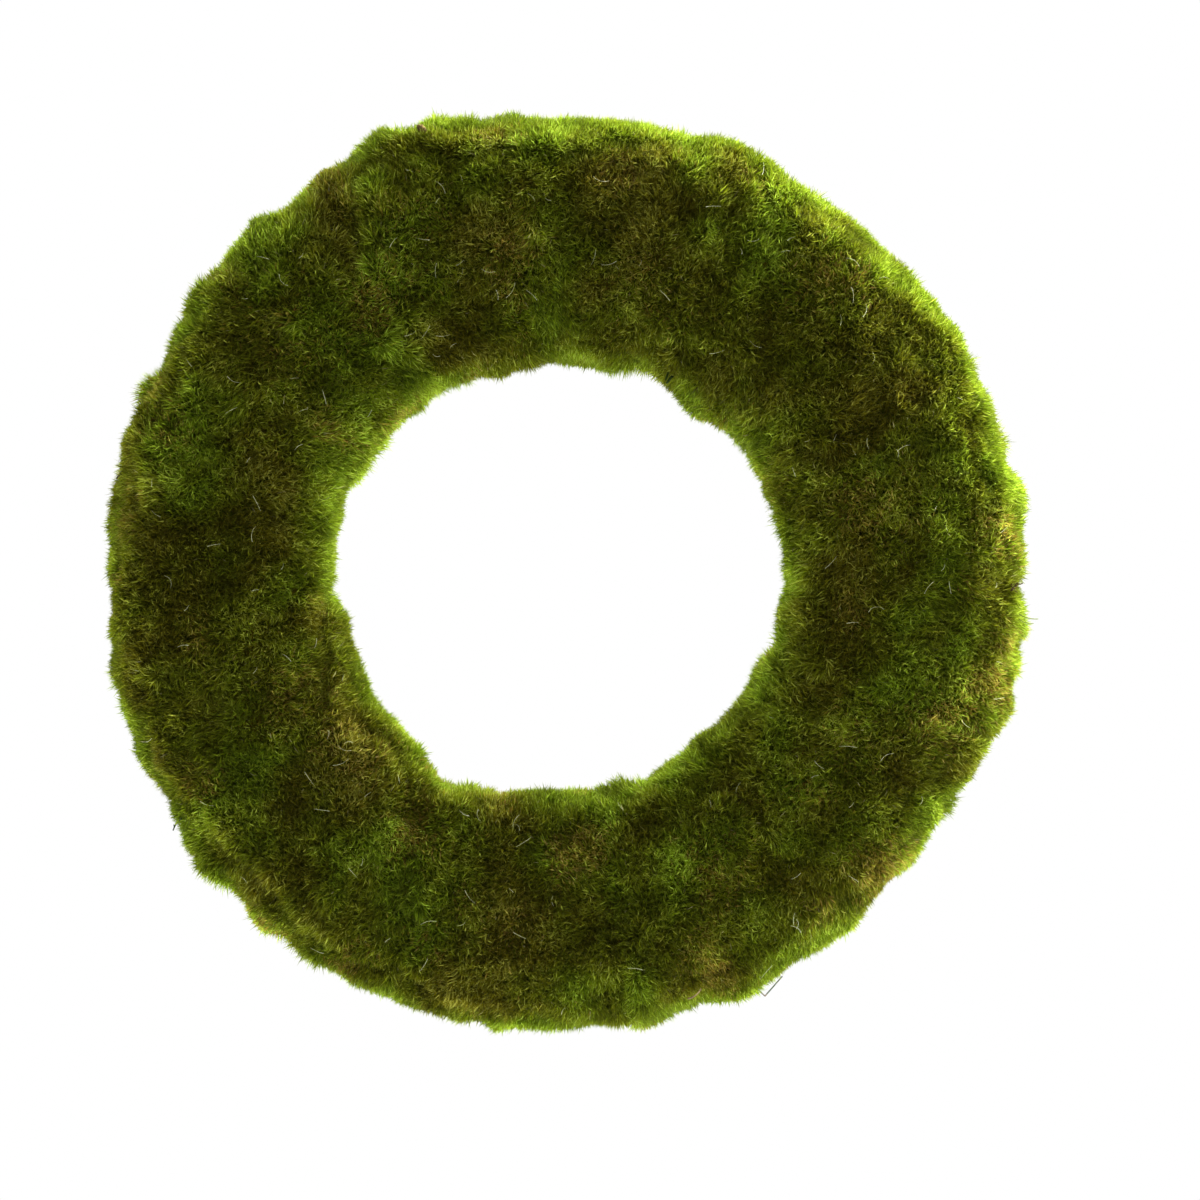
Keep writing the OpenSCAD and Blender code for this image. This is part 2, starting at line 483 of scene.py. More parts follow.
@dataclass(frozen=True)
class FloorFinish:
    """Plain pale floor."""

    name: str = "studio_floor"
    pale: Colour = (0.80, 0.80, 0.79)

    def make(self) -> bpy.types.Material:
        """Builds the material.

        Returns:
            The finished material.
        """
        kit = NodeKit(self.name)
        soft = kit.noise(kit.place(), 3.0, 2.0)
        colour = kit.mix(soft.rise(0.2, 0.8), self.pale, tuple(0.97 * c for c in self.pale))
        return kit.finish(kit.surface({"Base Color": colour, "Roughness": 0.75}))


# ---------------------------------------------------------------- mesh building


def deselect_all() -> None:
    """Leaves nothing selected."""
    bpy.ops.object.select_all(action="DESELECT")


def make_active(piece: bpy.types.Object) -> None:
    """Selects one object and makes it the active one.

    Args:
        piece: The object.
    """
    deselect_all()
    piece.select_set(True)
    bpy.context.view_layer.objects.active = piece


def select_where(piece: bpy.types.Object, test: object) -> None:
    """Selects the active mesh's vertices by their place, from edit mode.

    Args:
        piece: The object in edit mode.
        test: Called with a vertex; true keeps it selected.
    """
    bpy.ops.mesh.select_all(action="DESELECT")
    bpy.ops.object.mode_set(mode="OBJECT")
    for vertex in piece.data.vertices:
        vertex.select = bool(test(vertex))
    bpy.ops.object.mode_set(mode="EDIT")


def settle(piece: bpy.types.Object) -> None:
    """Puts an object's place, turn and scale into its mesh."""
    make_active(piece)
    bpy.ops.object.transform_apply(location=True, rotation=True, scale=True)


def dress(piece: bpy.types.Object, material: bpy.types.Material) -> None:
    """Puts one material on a piece, in place of any it has."""
    piece.data.materials.clear()
    piece.data.materials.append(material)


def read_vertices(mesh: bpy.types.Mesh, what: str = "co") -> np.ndarray:
    """Reads a number of each vertex.

    Args:
        mesh: The mesh.
        what: "co" for the places, or "normal".

    Returns:
        Its values, as many by three.
    """
    values = np.empty(len(mesh.vertices) * 3)
    mesh.vertices.foreach_get(what, values)
    return values.reshape(-1, 3)


def write_vertices(mesh: bpy.types.Mesh, points: np.ndarray) -> None:
    """Moves a mesh's vertices to new places."""
    mesh.vertices.foreach_set("co", points.reshape(-1))
    mesh.update()


def join(pieces: list, name: str) -> bpy.types.Object:
    """Joins objects into the first one and names it.

    Args:
        pieces: The objects.
        name: The name of the whole.

    Returns:
        The joined object.
    """
    make_active(pieces[0])
    for piece in pieces:
        piece.select_set(True)
    bpy.ops.object.join()
    pieces[0].name = pieces[0].data.name = name
    return pieces[0]


def hand_over(piece: bpy.types.Object, body: str = WREATH, replaced: tuple = ()) -> None:
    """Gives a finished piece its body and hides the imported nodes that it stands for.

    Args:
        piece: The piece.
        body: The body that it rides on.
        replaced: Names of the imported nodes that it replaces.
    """
    if replaced:
        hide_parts(*replaced)
    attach(piece, body)


@dataclass
class MeshBlock:
    """Copies of one small mesh, gathered into arrays before they become a piece."""

    points: np.ndarray
    quads: np.ndarray
    tris: np.ndarray

    def build(
        self,
        name: str,
        places: np.ndarray,
        material: bpy.types.Material,
        map_name: str | None = None,
        uv: np.ndarray | None = None,
    ) -> bpy.types.Object:
        """Makes one object that holds every copy.

        Args:
            name: The object's name.
            places: The points of each copy, as copies by points by three.
            material: The material of all of them.
            map_name: The name of the UV map, if there is one.
            uv: The map's values at each copy's points, as copies by points by two.

        Returns:
            The new object.
        """
        copies, per = places.shape[:2]
        shift = (np.arange(copies) * per)[:, None, None]
        quads = (self.quads[None] + shift).reshape(copies, -1)
        tris = (self.tris[None] + shift).reshape(copies, -1)
        corners = np.concatenate([quads, tris], axis=1).reshape(-1)
        sizes = np.tile([4] * len(self.quads) + [3] * len(self.tris), copies)
        starts = np.concatenate([[0], np.cumsum(sizes)[:-1]])
        mesh = bpy.data.meshes.new(name)
        mesh.vertices.add(copies * per)
        mesh.vertices.foreach_set("co", places.astype(np.float32).reshape(-1))
        mesh.loops.add(len(corners))
        mesh.loops.foreach_set("vertex_index", corners.astype(np.int32))
        mesh.polygons.add(len(sizes))
        mesh.polygons.foreach_set("loop_start", starts.astype(np.int32))
        mesh.polygons.foreach_set("use_smooth", np.ones(len(sizes), bool))
        mesh.update(calc_edges=True)
        mesh.validate()
        if map_name is not None:
            layer = mesh.uv_layers.new(name=map_name)
            layer.data.foreach_set("uv", uv.reshape(-1, 2)[corners].astype(np.float32).reshape(-1))
        mesh.materials.append(material)
        piece = bpy.data.objects.new(name, mesh)
        bpy.context.scene.collection.objects.link(piece)
        return piece


def block_of(piece: bpy.types.Object) -> MeshBlock:
    """Reads a small modelled object, to be copied many times, and removes it.

    Args:
        piece: A mesh of quads and triangles.

    Returns:
        Its points and faces.
    """
    points = np.array([v.co for v in piece.data.vertices])
    faces = [list(p.vertices) for p in piece.data.polygons]
    quads = np.array([f for f in faces if len(f) == 4], int).reshape(-1, 4)
    tris = np.array([f for f in faces if len(f) == 3], int).reshape(-1, 3)
    bpy.data.objects.remove(piece)
    return MeshBlock(points, quads, tris)


def wire_through(
    name: str,
    points: np.ndarray,
    radius: float,
    material: bpy.types.Material,
    closed: bool = False,
    taper: tuple[float, float] = (1.0, 1.0),
) -> bpy.types.Object:
    """Makes round wire, or a stalk, along a line of points.

    Args:
        name: The object's name.
        points: The middle line.
        radius: Half of its thickness.
        material: Its material.
        closed: Whether the ends meet.
        taper: Thickness at the start and at the end, as shares of the full one.

    Returns:
        The wire as a mesh.
    """
    line = bpy.data.curves.new(name, "CURVE")
    line.dimensions = "3D"
    line.bevel_depth = radius
    line.bevel_resolution = 2
    line.use_fill_caps = not closed
    spline = line.splines.new("POLY")
    spline.points.add(len(points) - 1)
    spline.use_cyclic_u = closed
    for i, (x, y, z) in enumerate(points):
        spline.points[i].co = (x, y, z, 1.0)
        share = i / max(len(points) - 1, 1)
        spline.points[i].radius = taper[0] + (taper[1] - taper[0]) * share
    piece = bpy.data.objects.new(name, line)
    bpy.context.scene.collection.objects.link(piece)
    make_active(piece)
    bpy.ops.object.convert(target="MESH")
    piece = bpy.context.object
    piece.name = piece.data.name = name
    bpy.ops.object.shade_smooth()
    dress(piece, material)
    return piece


def unit(vectors: np.ndarray) -> np.ndarray:
    """Vectors brought to length one."""
    return vectors / np.maximum(np.linalg.norm(vectors, axis=-1, keepdims=True), 1e-12)


def smooth_step(values: np.ndarray, low: float, high: float) -> np.ndarray:
    """A smooth step from 0 at low to 1 at high."""
    t = np.clip((values - low) / (high - low), 0.0, 1.0)
    return t * t * (3.0 - 2.0 * t)


def wrapped(angle: np.ndarray) -> np.ndarray:
    """Angles brought to between half a turn back and half a turn on."""
    return (angle + math.pi) % (2 * math.pi) - math.pi


def reach_of(points: np.ndarray) -> np.ndarray:
    """Distance of each point from the wreath's axis."""
    return np.hypot(points[:, 0], points[:, 2])


def arc(share: np.ndarray) -> np.ndarray:
    """A low arch over the run from 0 to 1: nothing at both ends and 1 in the middle."""
    return 4 * share * (1 - share)


class Waves:
    """Smooth seeded variation in space, from many plane waves in one band of sizes."""

    def __init__(self, rng: np.random.Generator, size: float, parts: int = 1, count: int = 28) -> None:
        """Draws the waves.

        Args:
            rng: The random source.
            size: Typical size of a feature, in metres.
            parts: Numbers given at each point.
            count: Waves for each of them.
        """
        directions = unit(rng.normal(size=(parts, count, 3)))
        lengths = 2 * size * rng.uniform(0.7, 1.5, size=(parts, count, 1))
        self.turns = directions * (2 * math.pi / lengths)
        self.phases = rng.uniform(0, 2 * math.pi, size=(parts, count))
        self.scale = math.sqrt(2.0 / count)

    def at(self, points: np.ndarray) -> np.ndarray:
        """The variation at points.

        Args:
            points: Places, as many by three.

        Returns:
            Numbers of about unit spread, as many by parts.
        """
        out = np.zeros((len(points), len(self.turns)))
        for part, (turn, phase) in enumerate(zip(self.turns, self.phases)):
            out[:, part] = np.sin(points @ turn.T + phase).sum(axis=1)
        return out * self.scale


# ---------------------------------------------------------------- the ring's shape


class Side(Enum):
    """The two edges of the moss ring."""

    OUTER = 1
    HOLE = -1


@dataclass(frozen=True)
class RingSizes:
    """What every section shares, read from the frame's wires."""

    middle: float
    wire_r: float
    back_at: tuple[float, float]
    side_at: tuple[float, float]

    @classmethod
    def from_frame(cls) -> "RingSizes":
        """Reads the sizes from the boxes of the four wire rings.

        Returns:
            The ring's sizes.
        """
        reach, middle_y, thick = {}, {}, 0.0
        for part in ("outer", "back_outer", "back_inner", "inner"):
            low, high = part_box(f"frame_ring_{part}")
            thick = high.y - low.y
            reach[part] = high.x - thick / 2
            middle_y[part] = (low.y + high.y) / 2
        middle = (reach["back_outer"] + reach["back_inner"]) / 2
        return cls(
            middle=middle,
            wire_r=thick / 2,
            back_at=(reach["back_outer"] - middle, -middle_y["back_outer"]),
            side_at=(reach["outer"] - middle, -middle_y["outer"]),
        )

    def placed(self, out: np.ndarray, height: np.ndarray, angle: np.ndarray) -> np.ndarray:
        """Places of section points round the wreath.

        Args:
            out: Distance out from the middle of the ring's width.
            height: Height towards the face.
            angle: Angle round the wreath, anticlockwise from +X.

        Returns:
            Points in the frame's coordinates.
        """
        reach = self.middle + out
        parts = np.broadcast_arrays(reach * np.cos(angle), -height, reach * np.sin(angle))
        return np.stack(parts, axis=-1)

    def seen_at(self, angle: float, out: float) -> np.ndarray:
        """Where a place round the ring lies in the plane of the wreath.

        Args:
            angle: Angle round the wreath in degrees.
            out: Distance out from the middle of the ring's width.

        Returns:
            Its x and z.
        """
        turn = math.radians(angle)
        return (self.middle + out) * np.array([math.cos(turn), math.sin(turn)])


SECTION_POWER = 2.4
FOLD_ROUND = 10 * MM
NEAR = 0.1 * MM


def rounded(out_w: float, hole_w: float, side_h: float, top_h: float, steps: int) -> np.ndarray:
    """Front curve of a section, from the outer side over the crown to the hole side.

    Args:
        out_w: Reach to the outer side.
        hole_w: Reach to the hole side.
        side_h: Height of the widest line.
        top_h: Height of the crown.
        steps: Steps along the curve.

    Returns:
        Points as distance out and height.
    """
    turn = np.linspace(0, math.pi, steps + 1)
    c, s = np.cos(turn), np.sin(turn)
    power = 2 / SECTION_POWER
    reach = np.where(c > 0, out_w, hole_w)
    out = reach * np.sign(c) * np.abs(c) ** power
    height = side_h + (top_h - side_h) * np.abs(s) ** power
    return np.stack([out, height], axis=1)


@dataclass
class CushionSection:
    """Outline of one moss cushion, read from its solid, and its stretch of the ring."""

    ring: RingSizes
    node: str
    start: float = 0.0
    end: float = 0.0
    out_w: float = 0.0
    hole_w: float = 0.0
    side_h: float = 0.0
    top_h: float = 0.0
    back_h: float = 0.0
    fold_w: float = 0.0

    def __post_init__(self) -> None:
        """Measures the solid."""
        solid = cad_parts[self.node].data
        points = np.array([v.co for v in solid.vertices], float)
        out = reach_of(points) - self.ring.middle
        middle = math.atan2(points[:, 2].mean(), points[:, 0].mean())
        turn = wrapped(np.arctan2(points[:, 2], points[:, 0]) - middle)
        self.start, self.end = middle + turn.min(), middle + turn.max()
        self.out_w, self.hole_w = out.max(), -out.min()
        self.side_h = -points[out > out.max() - NEAR, 1].mean()
        self.top_h = -points[:, 1].min()
        self.back_h = -points[:, 1].max()
        folded = points[:, 1] > points[:, 1].max() - NEAR
        self.fold_w = np.abs(out[folded]).min()

    def away_from_middle(self, points: np.ndarray) -> np.ndarray:
        """Angle of each point round the ring, from the middle of the cushion."""
        return wrapped(np.arctan2(points[:, 2], points[:, 0]) - (self.start + self.end) / 2)

    def outline(self, inset: float, back_inset: float) -> np.ndarray:
        """Outline inside the cushion's surface, from the outer folded edge to the inner one.

        Args:
            inset: How far inside the face and flanks.
            back_inset: How far inside the folded edges.

        Returns:
            Points as distance out and height.
        """
        out_w, hole_w = self.out_w - inset, self.hole_w - inset
        fold = self.fold_w + FOLD_ROUND
        back_h = self.back_h + back_inset
        drop = self.side_h - back_h
        turn = np.linspace(math.pi / 2, 0, 9)[:-1]
        sink = self.side_h - drop * np.sin(turn)
        outer = np.stack([fold + (out_w - fold) * np.cos(turn), sink], axis=1)
        inner = np.stack([-fold - (hole_w - fold) * np.cos(turn), sink], axis=1)[::-1]
        front = rounded(out_w, hole_w, self.side_h, self.top_h - inset, 56)
        ends = np.array([[self.fold_w, back_h]])
        return np.concatenate([ends, outer, front, inner, ends * (-1, 1)])


@dataclass
class Surface:
    """A section outline swept round part of the ring, on which moss grows."""

    ring: RingSizes
    line: np.ndarray
    start: float
    end: float
    run: np.ndarray = field(init=False)
    normal: np.ndarray = field(init=False)

    def __post_init__(self) -> None:
        """Works out the length along the outline and its outward normals."""
        step = np.diff(self.line, axis=0)
        self.run = np.concatenate([[0], np.cumsum(np.linalg.norm(step, axis=1))])
        along = np.gradient(self.line, self.run, axis=0)
        self.normal = unit(np.stack([along[:, 1], -along[:, 0]], axis=1))

    def area(self) -> float:
        """Area of the swept surface."""
        middle = self.ring.middle + (self.line[1:, 0] + self.line[:-1, 0]) / 2
        return float((middle * np.diff(self.run)).sum() * (self.end - self.start))

    def scatter(self, rng: np.random.Generator, count: int) -> tuple[np.ndarray, ...]:
        """Spreads points evenly over the surface.

        Args:
            rng: The random source.
            count: How many.

        Returns:
            Length along the outline, angle, place and outward normal of each.
        """
        weight = (self.ring.middle + (self.line[1:, 0] + self.line[:-1, 0]) / 2) * np.diff(self.run)
        total = np.concatenate([[0], np.cumsum(weight)])
        run = np.interp(rng.uniform(0, total[-1], count), total, self.run)
        angle = rng.uniform(self.start, self.end, count)
        return (run, angle, *self.at(run, angle))

    def at(self, run: np.ndarray, angle: np.ndarray) -> tuple[np.ndarray, np.ndarray]:
        """Finds points on the surface.

        Args:
            run: Lengths along the outline.
            angle: Angles round the wreath.

        Returns:
            Their places and outward normals.
        """
        out = np.interp(run, self.run, self.line[:, 0])
        height = np.interp(run, self.run, self.line[:, 1])
        lean = np.interp(run, self.run, self.normal[:, 0])
        face = np.interp(run, self.run, self.normal[:, 1])
        normal = np.stack([lean * np.cos(angle), -face, lean * np.sin(angle)], axis=1)
        return self.ring.placed(out, height, angle), unit(normal)


# ---------------------------------------------------------------- moss


@dataclass(frozen=True)
class Spot:
    """A place on the moss that differs from the rest."""

    angle: float
    out: float
    size: float
    strength: float

    def weight(self, ring: RingSizes, points: np.ndarray) -> np.ndarray:
        """How strongly each point belongs to the spot, through the ring's whole depth.

        Args:
            ring: The ring's sizes.
            points: Places on the moss.

        Returns:
            The spot's strength at each of them.
        """
        centre = ring.seen_at(self.angle, self.out)
        away = np.hypot(points[:, 0] - centre[0], points[:, 2] - centre[1])
        return self.strength * np.exp(-((away / self.size) ** 2))


@dataclass(frozen=True)
class Lip:
    """Edge of a moss sheet that lies over the next one: a step up, with a fringe over it."""

    start: tuple[float, float]
    end: tuple[float, float]
    height: float
    fade: float

    def across(self, ring: RingSizes, points: np.ndarray) -> tuple[np.ndarray, np.ndarray]:
        """Distance from the edge and how far it holds there.

        Args:
            ring: The ring's sizes.
            points: Places on the moss.

        Returns:
            The distance to the raised side, and a weight that fades past both ends.
        """
        start, end = ring.seen_at(*self.start), ring.seen_at(*self.end)
        length = np.linalg.norm(end - start)
        along = (end - start) / length
        from_start = points[:, [0, 2]] - start
        run = from_start @ along
        bow = 3 * MM * np.sin(run / (9 * MM)) + 1.6 * MM * np.sin(run / (3.7 * MM) + 1)
        side = from_start @ np.array([-along[1], along[0]]) + bow
        past = np.maximum(np.maximum(-run, run - length), 0.0)
        return side, np.exp(-((past / self.fade) ** 2))

    def rise(self, ring: RingSizes, points: np.ndarray) -> np.ndarray:
        """How far the surface is raised: abruptly at the edge, then sinking back slowly.

        Args:
            ring: The ring's sizes.
            points: Places on the moss.

        Returns:
            The rise at each of them.
        """
        side, holds = self.across(ring, points)
        step = smooth_step(side, -1.0 * MM, 1.5 * MM) * np.exp(-np.maximum(side, 0) / self.fade)
        hollow = 0.4 * np.exp(-(((side + 3 * MM) / (4 * MM)) ** 2))
        return self.height * holds * (step - hollow)

    def fringe(self, ring: RingSizes, points: np.ndarray) -> np.ndarray:
        """How much the blades near the raised edge lean over it."""
        side, holds = self.across(ring, points)
        return holds * np.exp(-(((side - 1.5 * MM) / (3.5 * MM)) ** 2))

    def lower_way(self, ring: RingSizes) -> np.ndarray:
        """The way down over the edge.

        Args:
            ring: The ring's sizes.

        Returns:
            A direction of length one.
        """
        start, end = ring.seen_at(*self.start), ring.seen_at(*self.end)
        along = (end - start) / np.linalg.norm(end - start)
        return np.array([along[1], 0.0, -along[0]])


def spots_from(scale: float, *rows: tuple[float, float, float, float]) -> tuple[Spot, ...]:
    """Makes spots from rows of an angle, a distance out, a size and a strength.

    Args:
        scale: What one unit of strength stands for.
        rows: The rows, in degrees and millimetres.

    Returns:
        The spots.
    """
    return tuple(Spot(turn, out * MM, size * MM, strength * scale) for turn, out, size, strength in rows)


def lips_from(*rows: tuple[float, float, float, float, float, float]) -> tuple[Lip, ...]:
    """Makes lips from rows of both ends' angles and distances out, a height and a fade.

    Args:
        rows: The rows, in degrees and millimetres.

    Returns:
        The lips.
    """
    return tuple(
        Lip((turn, out * MM), (end_turn, end_out * MM), height * MM, fade * MM)
        for turn, out, end_turn, end_out, height, fade in rows
    )


@dataclass
class MossGrowth:
    """How the moss varies over the whole wreath: lumps, lips, lean, length, tone, and painted light and
    shade.
    """

    ring: RingSizes
    clump_size: float = 11 * MM
    patch_size: float = 58 * MM
    pile: float = 9.5 * MM
    inset: float = 6.5 * MM
    blade_w: float = 0.95 * MM
    match_run: float = 16 * MM
    lump_h: float = 1.6 * MM
    knoll_h: float = 1.1 * MM
    dry_share: float = 0.65
    gloom_steps: float = 0.25
    dapple_steps: float = 0.55
    middle_tone: float = 0.44
    face_drop: float = 0.22
    dry_spots: tuple[Spot, ...] = spots_from(
        1.0,
        (99, -9, 20, 0.85), (112, 25, 22, 0.45), (120, -5, 24, 0.45), (140, 5, 30, 0.40),
        (160, 50, 20, 0.50), (172, 62, 16, 0.50), (205, -30, 26, 0.60), (222, -38, 20, 0.75),
        (240, -30, 22, 0.75), (262, 5, 26, 0.50), (-69, 56, 14, 1.00), (-43, 58, 20, 1.00),
        (-52, 50, 12, 0.70), (-15, 66, 17, 0.95), (-9, 70, 12, 0.60), (10, -10, 26, 0.45),
        (48, 20, 24, 0.40), (75, -25, 22, 0.45), (330, 0, 24, 0.40), (300, -5, 24, 0.35),
        (255, -66, 9, 0.80),
    )
    # Painted light and shade: spots that lighten the blades on the hole's flanks and darken them over the
    # outer face.
    painted_light_and_shade_spots: tuple[Spot, ...] = spots_from(
        1.0,
        (0, -60, 26, 0.6), (33, -14, 22, 1.0), (60, -20, 30, 0.5), (78, -28, 20, 1.5),
        (90, 52, 18, 1.2), (105, -10, 18, 1.6), (150, -62, 26, 0.6), (165, -34, 18, 0.8),
        (178, -50, 24, 1.1), (215, -52, 26, 0.8), (228, -28, 20, 1.0), (252, -54, 24, 1.5),
        (300, -60, 18, 0.6), (15, 30, 28, -0.9), (45, 66, 16, -0.7), (60, 22, 22, -0.6),
        (160, 25, 26, -0.3), (180, -5, 20, -0.4), (205, 14, 34, -1.3), (210, 66, 18, -0.9),
        (225, 20, 20, -0.3), (244, 26, 34, -1.3), (262, 50, 20, -0.6), (268, -18, 22, -0.5),
        (282, 20, 34, -1.3), (300, -14, 24, -0.6), (315, 20, 34, -0.9), (332, 46, 18, -0.6),
        (350, 22, 30, -0.9),
    )
    proud_spots: tuple[Spot, ...] = spots_from(
        MM,
        (10, 80, 14, 7), (39, 79, 13, -5), (51, 80, 12, 3), (69, 80, 18, 6),
        (91, 80, 12, -5), (100, 80, 9, -7), (112, 78, 14, 10), (121, 78, 10, 4),
        (131, 76, 10, 6), (150, 80, 11, -4), (171, 80, 12, 3), (190, 80, 10, -3),
        (204, 80, 14, 6), (220, 80, 12, 4), (230, 80, 9, 5), (241, 80, 8, -4),
        (262, 80, 9, 5), (280, 80, 11, 8), (291, 80, 10, 6), (301, 80, 8, -5),
        (310, 80, 11, 4), (320, 80, 14, 6), (330, 80, 9, -6), (343, 80, 12, 6),
        (351, 80, 8, -4), (358, 78, 6, -5), (50, -78, 12, 4), (70, -78, 10, -5),
        (80, -78, 12, 4), (108, -78, 16, 8), (130, -78, 12, 5), (160, -76, 12, -6),
        (150, -76, 10, -2), (177, -76, 14, 4), (200, -76, 14, -3), (236, -76, 14, -4),
        (260, -78, 12, -6), (272, -80, 8, 4), (280, -80, 9, 2), (309, -78, 10, 5),
        (290, -78, 9, -8), (340, -78, 10, -3), (350, -78, 14, 4),
    )
    lips: tuple[Lip, ...] = lips_from(
        (106, 61, 91, 51, 4.0, 12), (91, 51, 80, 59, 3.5, 10), (63, 65, 44, 14, 2.5, 16),
        (117, 59, 129, -18, 3.0, 14), (38, -74, 21, -14, 2.5, 14), (188, -66, 228, -4, 3.5, 16),
        (292, -66, 250, -68, 4.5, 12), (206, 66, 236, 62, 4.0, 14), (240, 60, 262, 66, 3.5, 12),
        (150, 64, 178, 62, 3.0, 12), (300, 62, 322, 56, 3.5, 12), (20, 62, 2, 66, 2.5, 12),
    )

    def __post_init__(self) -> None:
        """Draws the seeded variation."""
        rng = np.random.default_rng(SEED)
        self.lumps = Waves(rng, 34 * MM)
        self.knolls = Waves(rng, 13 * MM)
        self.sweep = Waves(rng, 48 * MM, 3)
        self.ruffle = Waves(rng, 9 * MM, 3)
        self.broad = Waves(rng, 46 * MM)
        self.shade = Waves(rng, 20 * MM)
        self.speckle = Waves(rng, 6 * MM)
        self.drought = Waves(rng, 30 * MM)
        self.gloom = Waves(rng, 40 * MM)
        self.dapple = Waves(rng, 15 * MM)

    def rise(self, points: np.ndarray) -> np.ndarray:
        """How far the surface stands out past its even outline.

        Args:
            points: Places on the moss.

        Returns:
            The rise at each of them.
        """
        rise = self.lump_h * self.lumps.at(points)[:, 0] + self.knoll_h * self.knolls.at(points)[:, 0]
        for spot in self.proud_spots:
            rise = rise + spot.weight(self.ring, points)
        for lip in self.lips:
            rise = rise + lip.rise(self.ring, points)
        return rise

    def match(self, sections: list, number: int, angle: np.ndarray, out: np.ndarray) -> np.ndarray:
        """Evens out the step between two neighbouring cushions at their seam.

        Args:
            sections: The sections of all the cushions, in order.
            number: The cushion's place among them.
            angle: The angle of each point.
            out: The distance of each point from the middle of the ring's width.

        Returns:
            How far each point is raised.
        """
        own = sections[number]
        rise = np.zeros(len(angle))
        after = sections[(number + 1) % len(sections)]
        ends = ((own.start, sections[number - 1]), (own.end, after))
        reach = self.ring.middle + out
        for seam, other in ends:
            near = 0.5 * (1 - smooth_step(np.abs(angle - seam) * reach, 0.0, self.match_run))
            outer = smooth_step(out / own.out_w, 0.2, 0.9)
            hole = smooth_step(-out / own.hole_w, 0.2, 0.9)
            rise += near * outer * (other.out_w - own.out_w)
            rise += near * hole * (other.hole_w - own.hole_w)
            rise += near * (1 - outer - hole) * (other.top_h - own.top_h)
        return rise

    def over_lips(self, points: np.ndarray) -> np.ndarray:
        """The lean of blades over the edges of the moss sheets.

        Args:
            points: Roots of the blades.

        Returns:
            A lean for each, as many by three.
        """
        lean = np.zeros((len(points), 3))
        for lip in self.lips:
            lean += lip.fringe(self.ring, points)[:, None] * lip.lower_way(self.ring)
        return lean

    def dryness(self, points: np.ndarray) -> np.ndarray:
        """How brown and matted the moss is.

        Args:
            points: Places on the moss.

        Returns:
            Shares from 0 to 1.
        """
        dry = self.dry_share * smooth_step(self.drought.at(points)[:, 0], 0.5, 2.2)
        for spot in self.dry_spots:
            dry = np.maximum(dry, spot.weight(self.ring, points))
        broken = smooth_step(self.speckle.at(points)[:, 0] + 2.4 * dry, -0.4, 2.0)
        return np.clip(dry * broken, 0, 1)

    def lightness(self, points: np.ndarray) -> np.ndarray:
        """How much lighter or darker the blades are, in steps of painted light and shade.

        Args:
            points: Places on the moss.

        Returns:
            Steps up or down at each of them.
        """
        steps = self.gloom_steps * self.gloom.at(points)[:, 0]
        steps = steps + self.dapple_steps * self.dapple.at(points)[:, 0]
        for spot in self.painted_light_and_shade_spots:
            steps = steps + spot.weight(self.ring, points)
        return steps

    def tone(self, points: np.ndarray, facing: np.ndarray) -> np.ndarray:
        """How yellow the green is: deeper on the face than on the flanks, partly the moss's own hue and
        partly painted light on the flanks.

        Args:
            points: Places on the moss.
            facing: How far each looks towards the front, from -1 to 1.

        Returns:
            Tones, from 0 for young green to 1 for straw.
        """
        tone = 0.085 * self.broad.at(points)[:, 0] + 0.070 * self.shade.at(points)[:, 0]
        tone = tone + 0.030 * self.speckle.at(points)[:, 0]
        # Lighter and more lime where the surface turns from the face to the flanks: partly the moss's own
        # hue, partly painted light.
        return self.middle_tone - self.face_drop * smooth_step(facing, 0.25, 0.85) + tone


@dataclass(frozen=True)
class BladeShape:
    """One moss blade, modelled once: a strip that tapers to its tip."""

    bend_at: float = 0.0
    bend_w: float = 1.0

    def model(self) -> MeshBlock:
        """Models the blade, one unit high and two units wide.

        Returns:
            The blade's points and faces: a pair of points at its root, a pair where it
            bends, if it does, and its tip.
        """
        deselect_all()
        bpy.ops.mesh.primitive_plane_add(size=2, rotation=(math.pi / 2, 0, 0))
        piece = bpy.context.object
        settle(piece)
        bpy.ops.object.mode_set(mode="EDIT")
        select_where(piece, lambda v: v.co.z < 0)
        bpy.ops.transform.translate(value=(0, 0, 1))
        select_where(piece, lambda v: v.co.z > 0.5)
        if self.bend_at:
            bpy.ops.transform.translate(value=(0, 0, self.bend_at - 1))
            bpy.ops.transform.resize(value=(self.bend_w, 1, 1))
            bpy.ops.mesh.extrude_edges_move(TRANSFORM_OT_translate={"value": (0, 0, 1 - self.bend_at)})
        bpy.ops.mesh.merge(type="CENTER")
        bpy.ops.object.mode_set(mode="OBJECT")
        return block_of(piece)


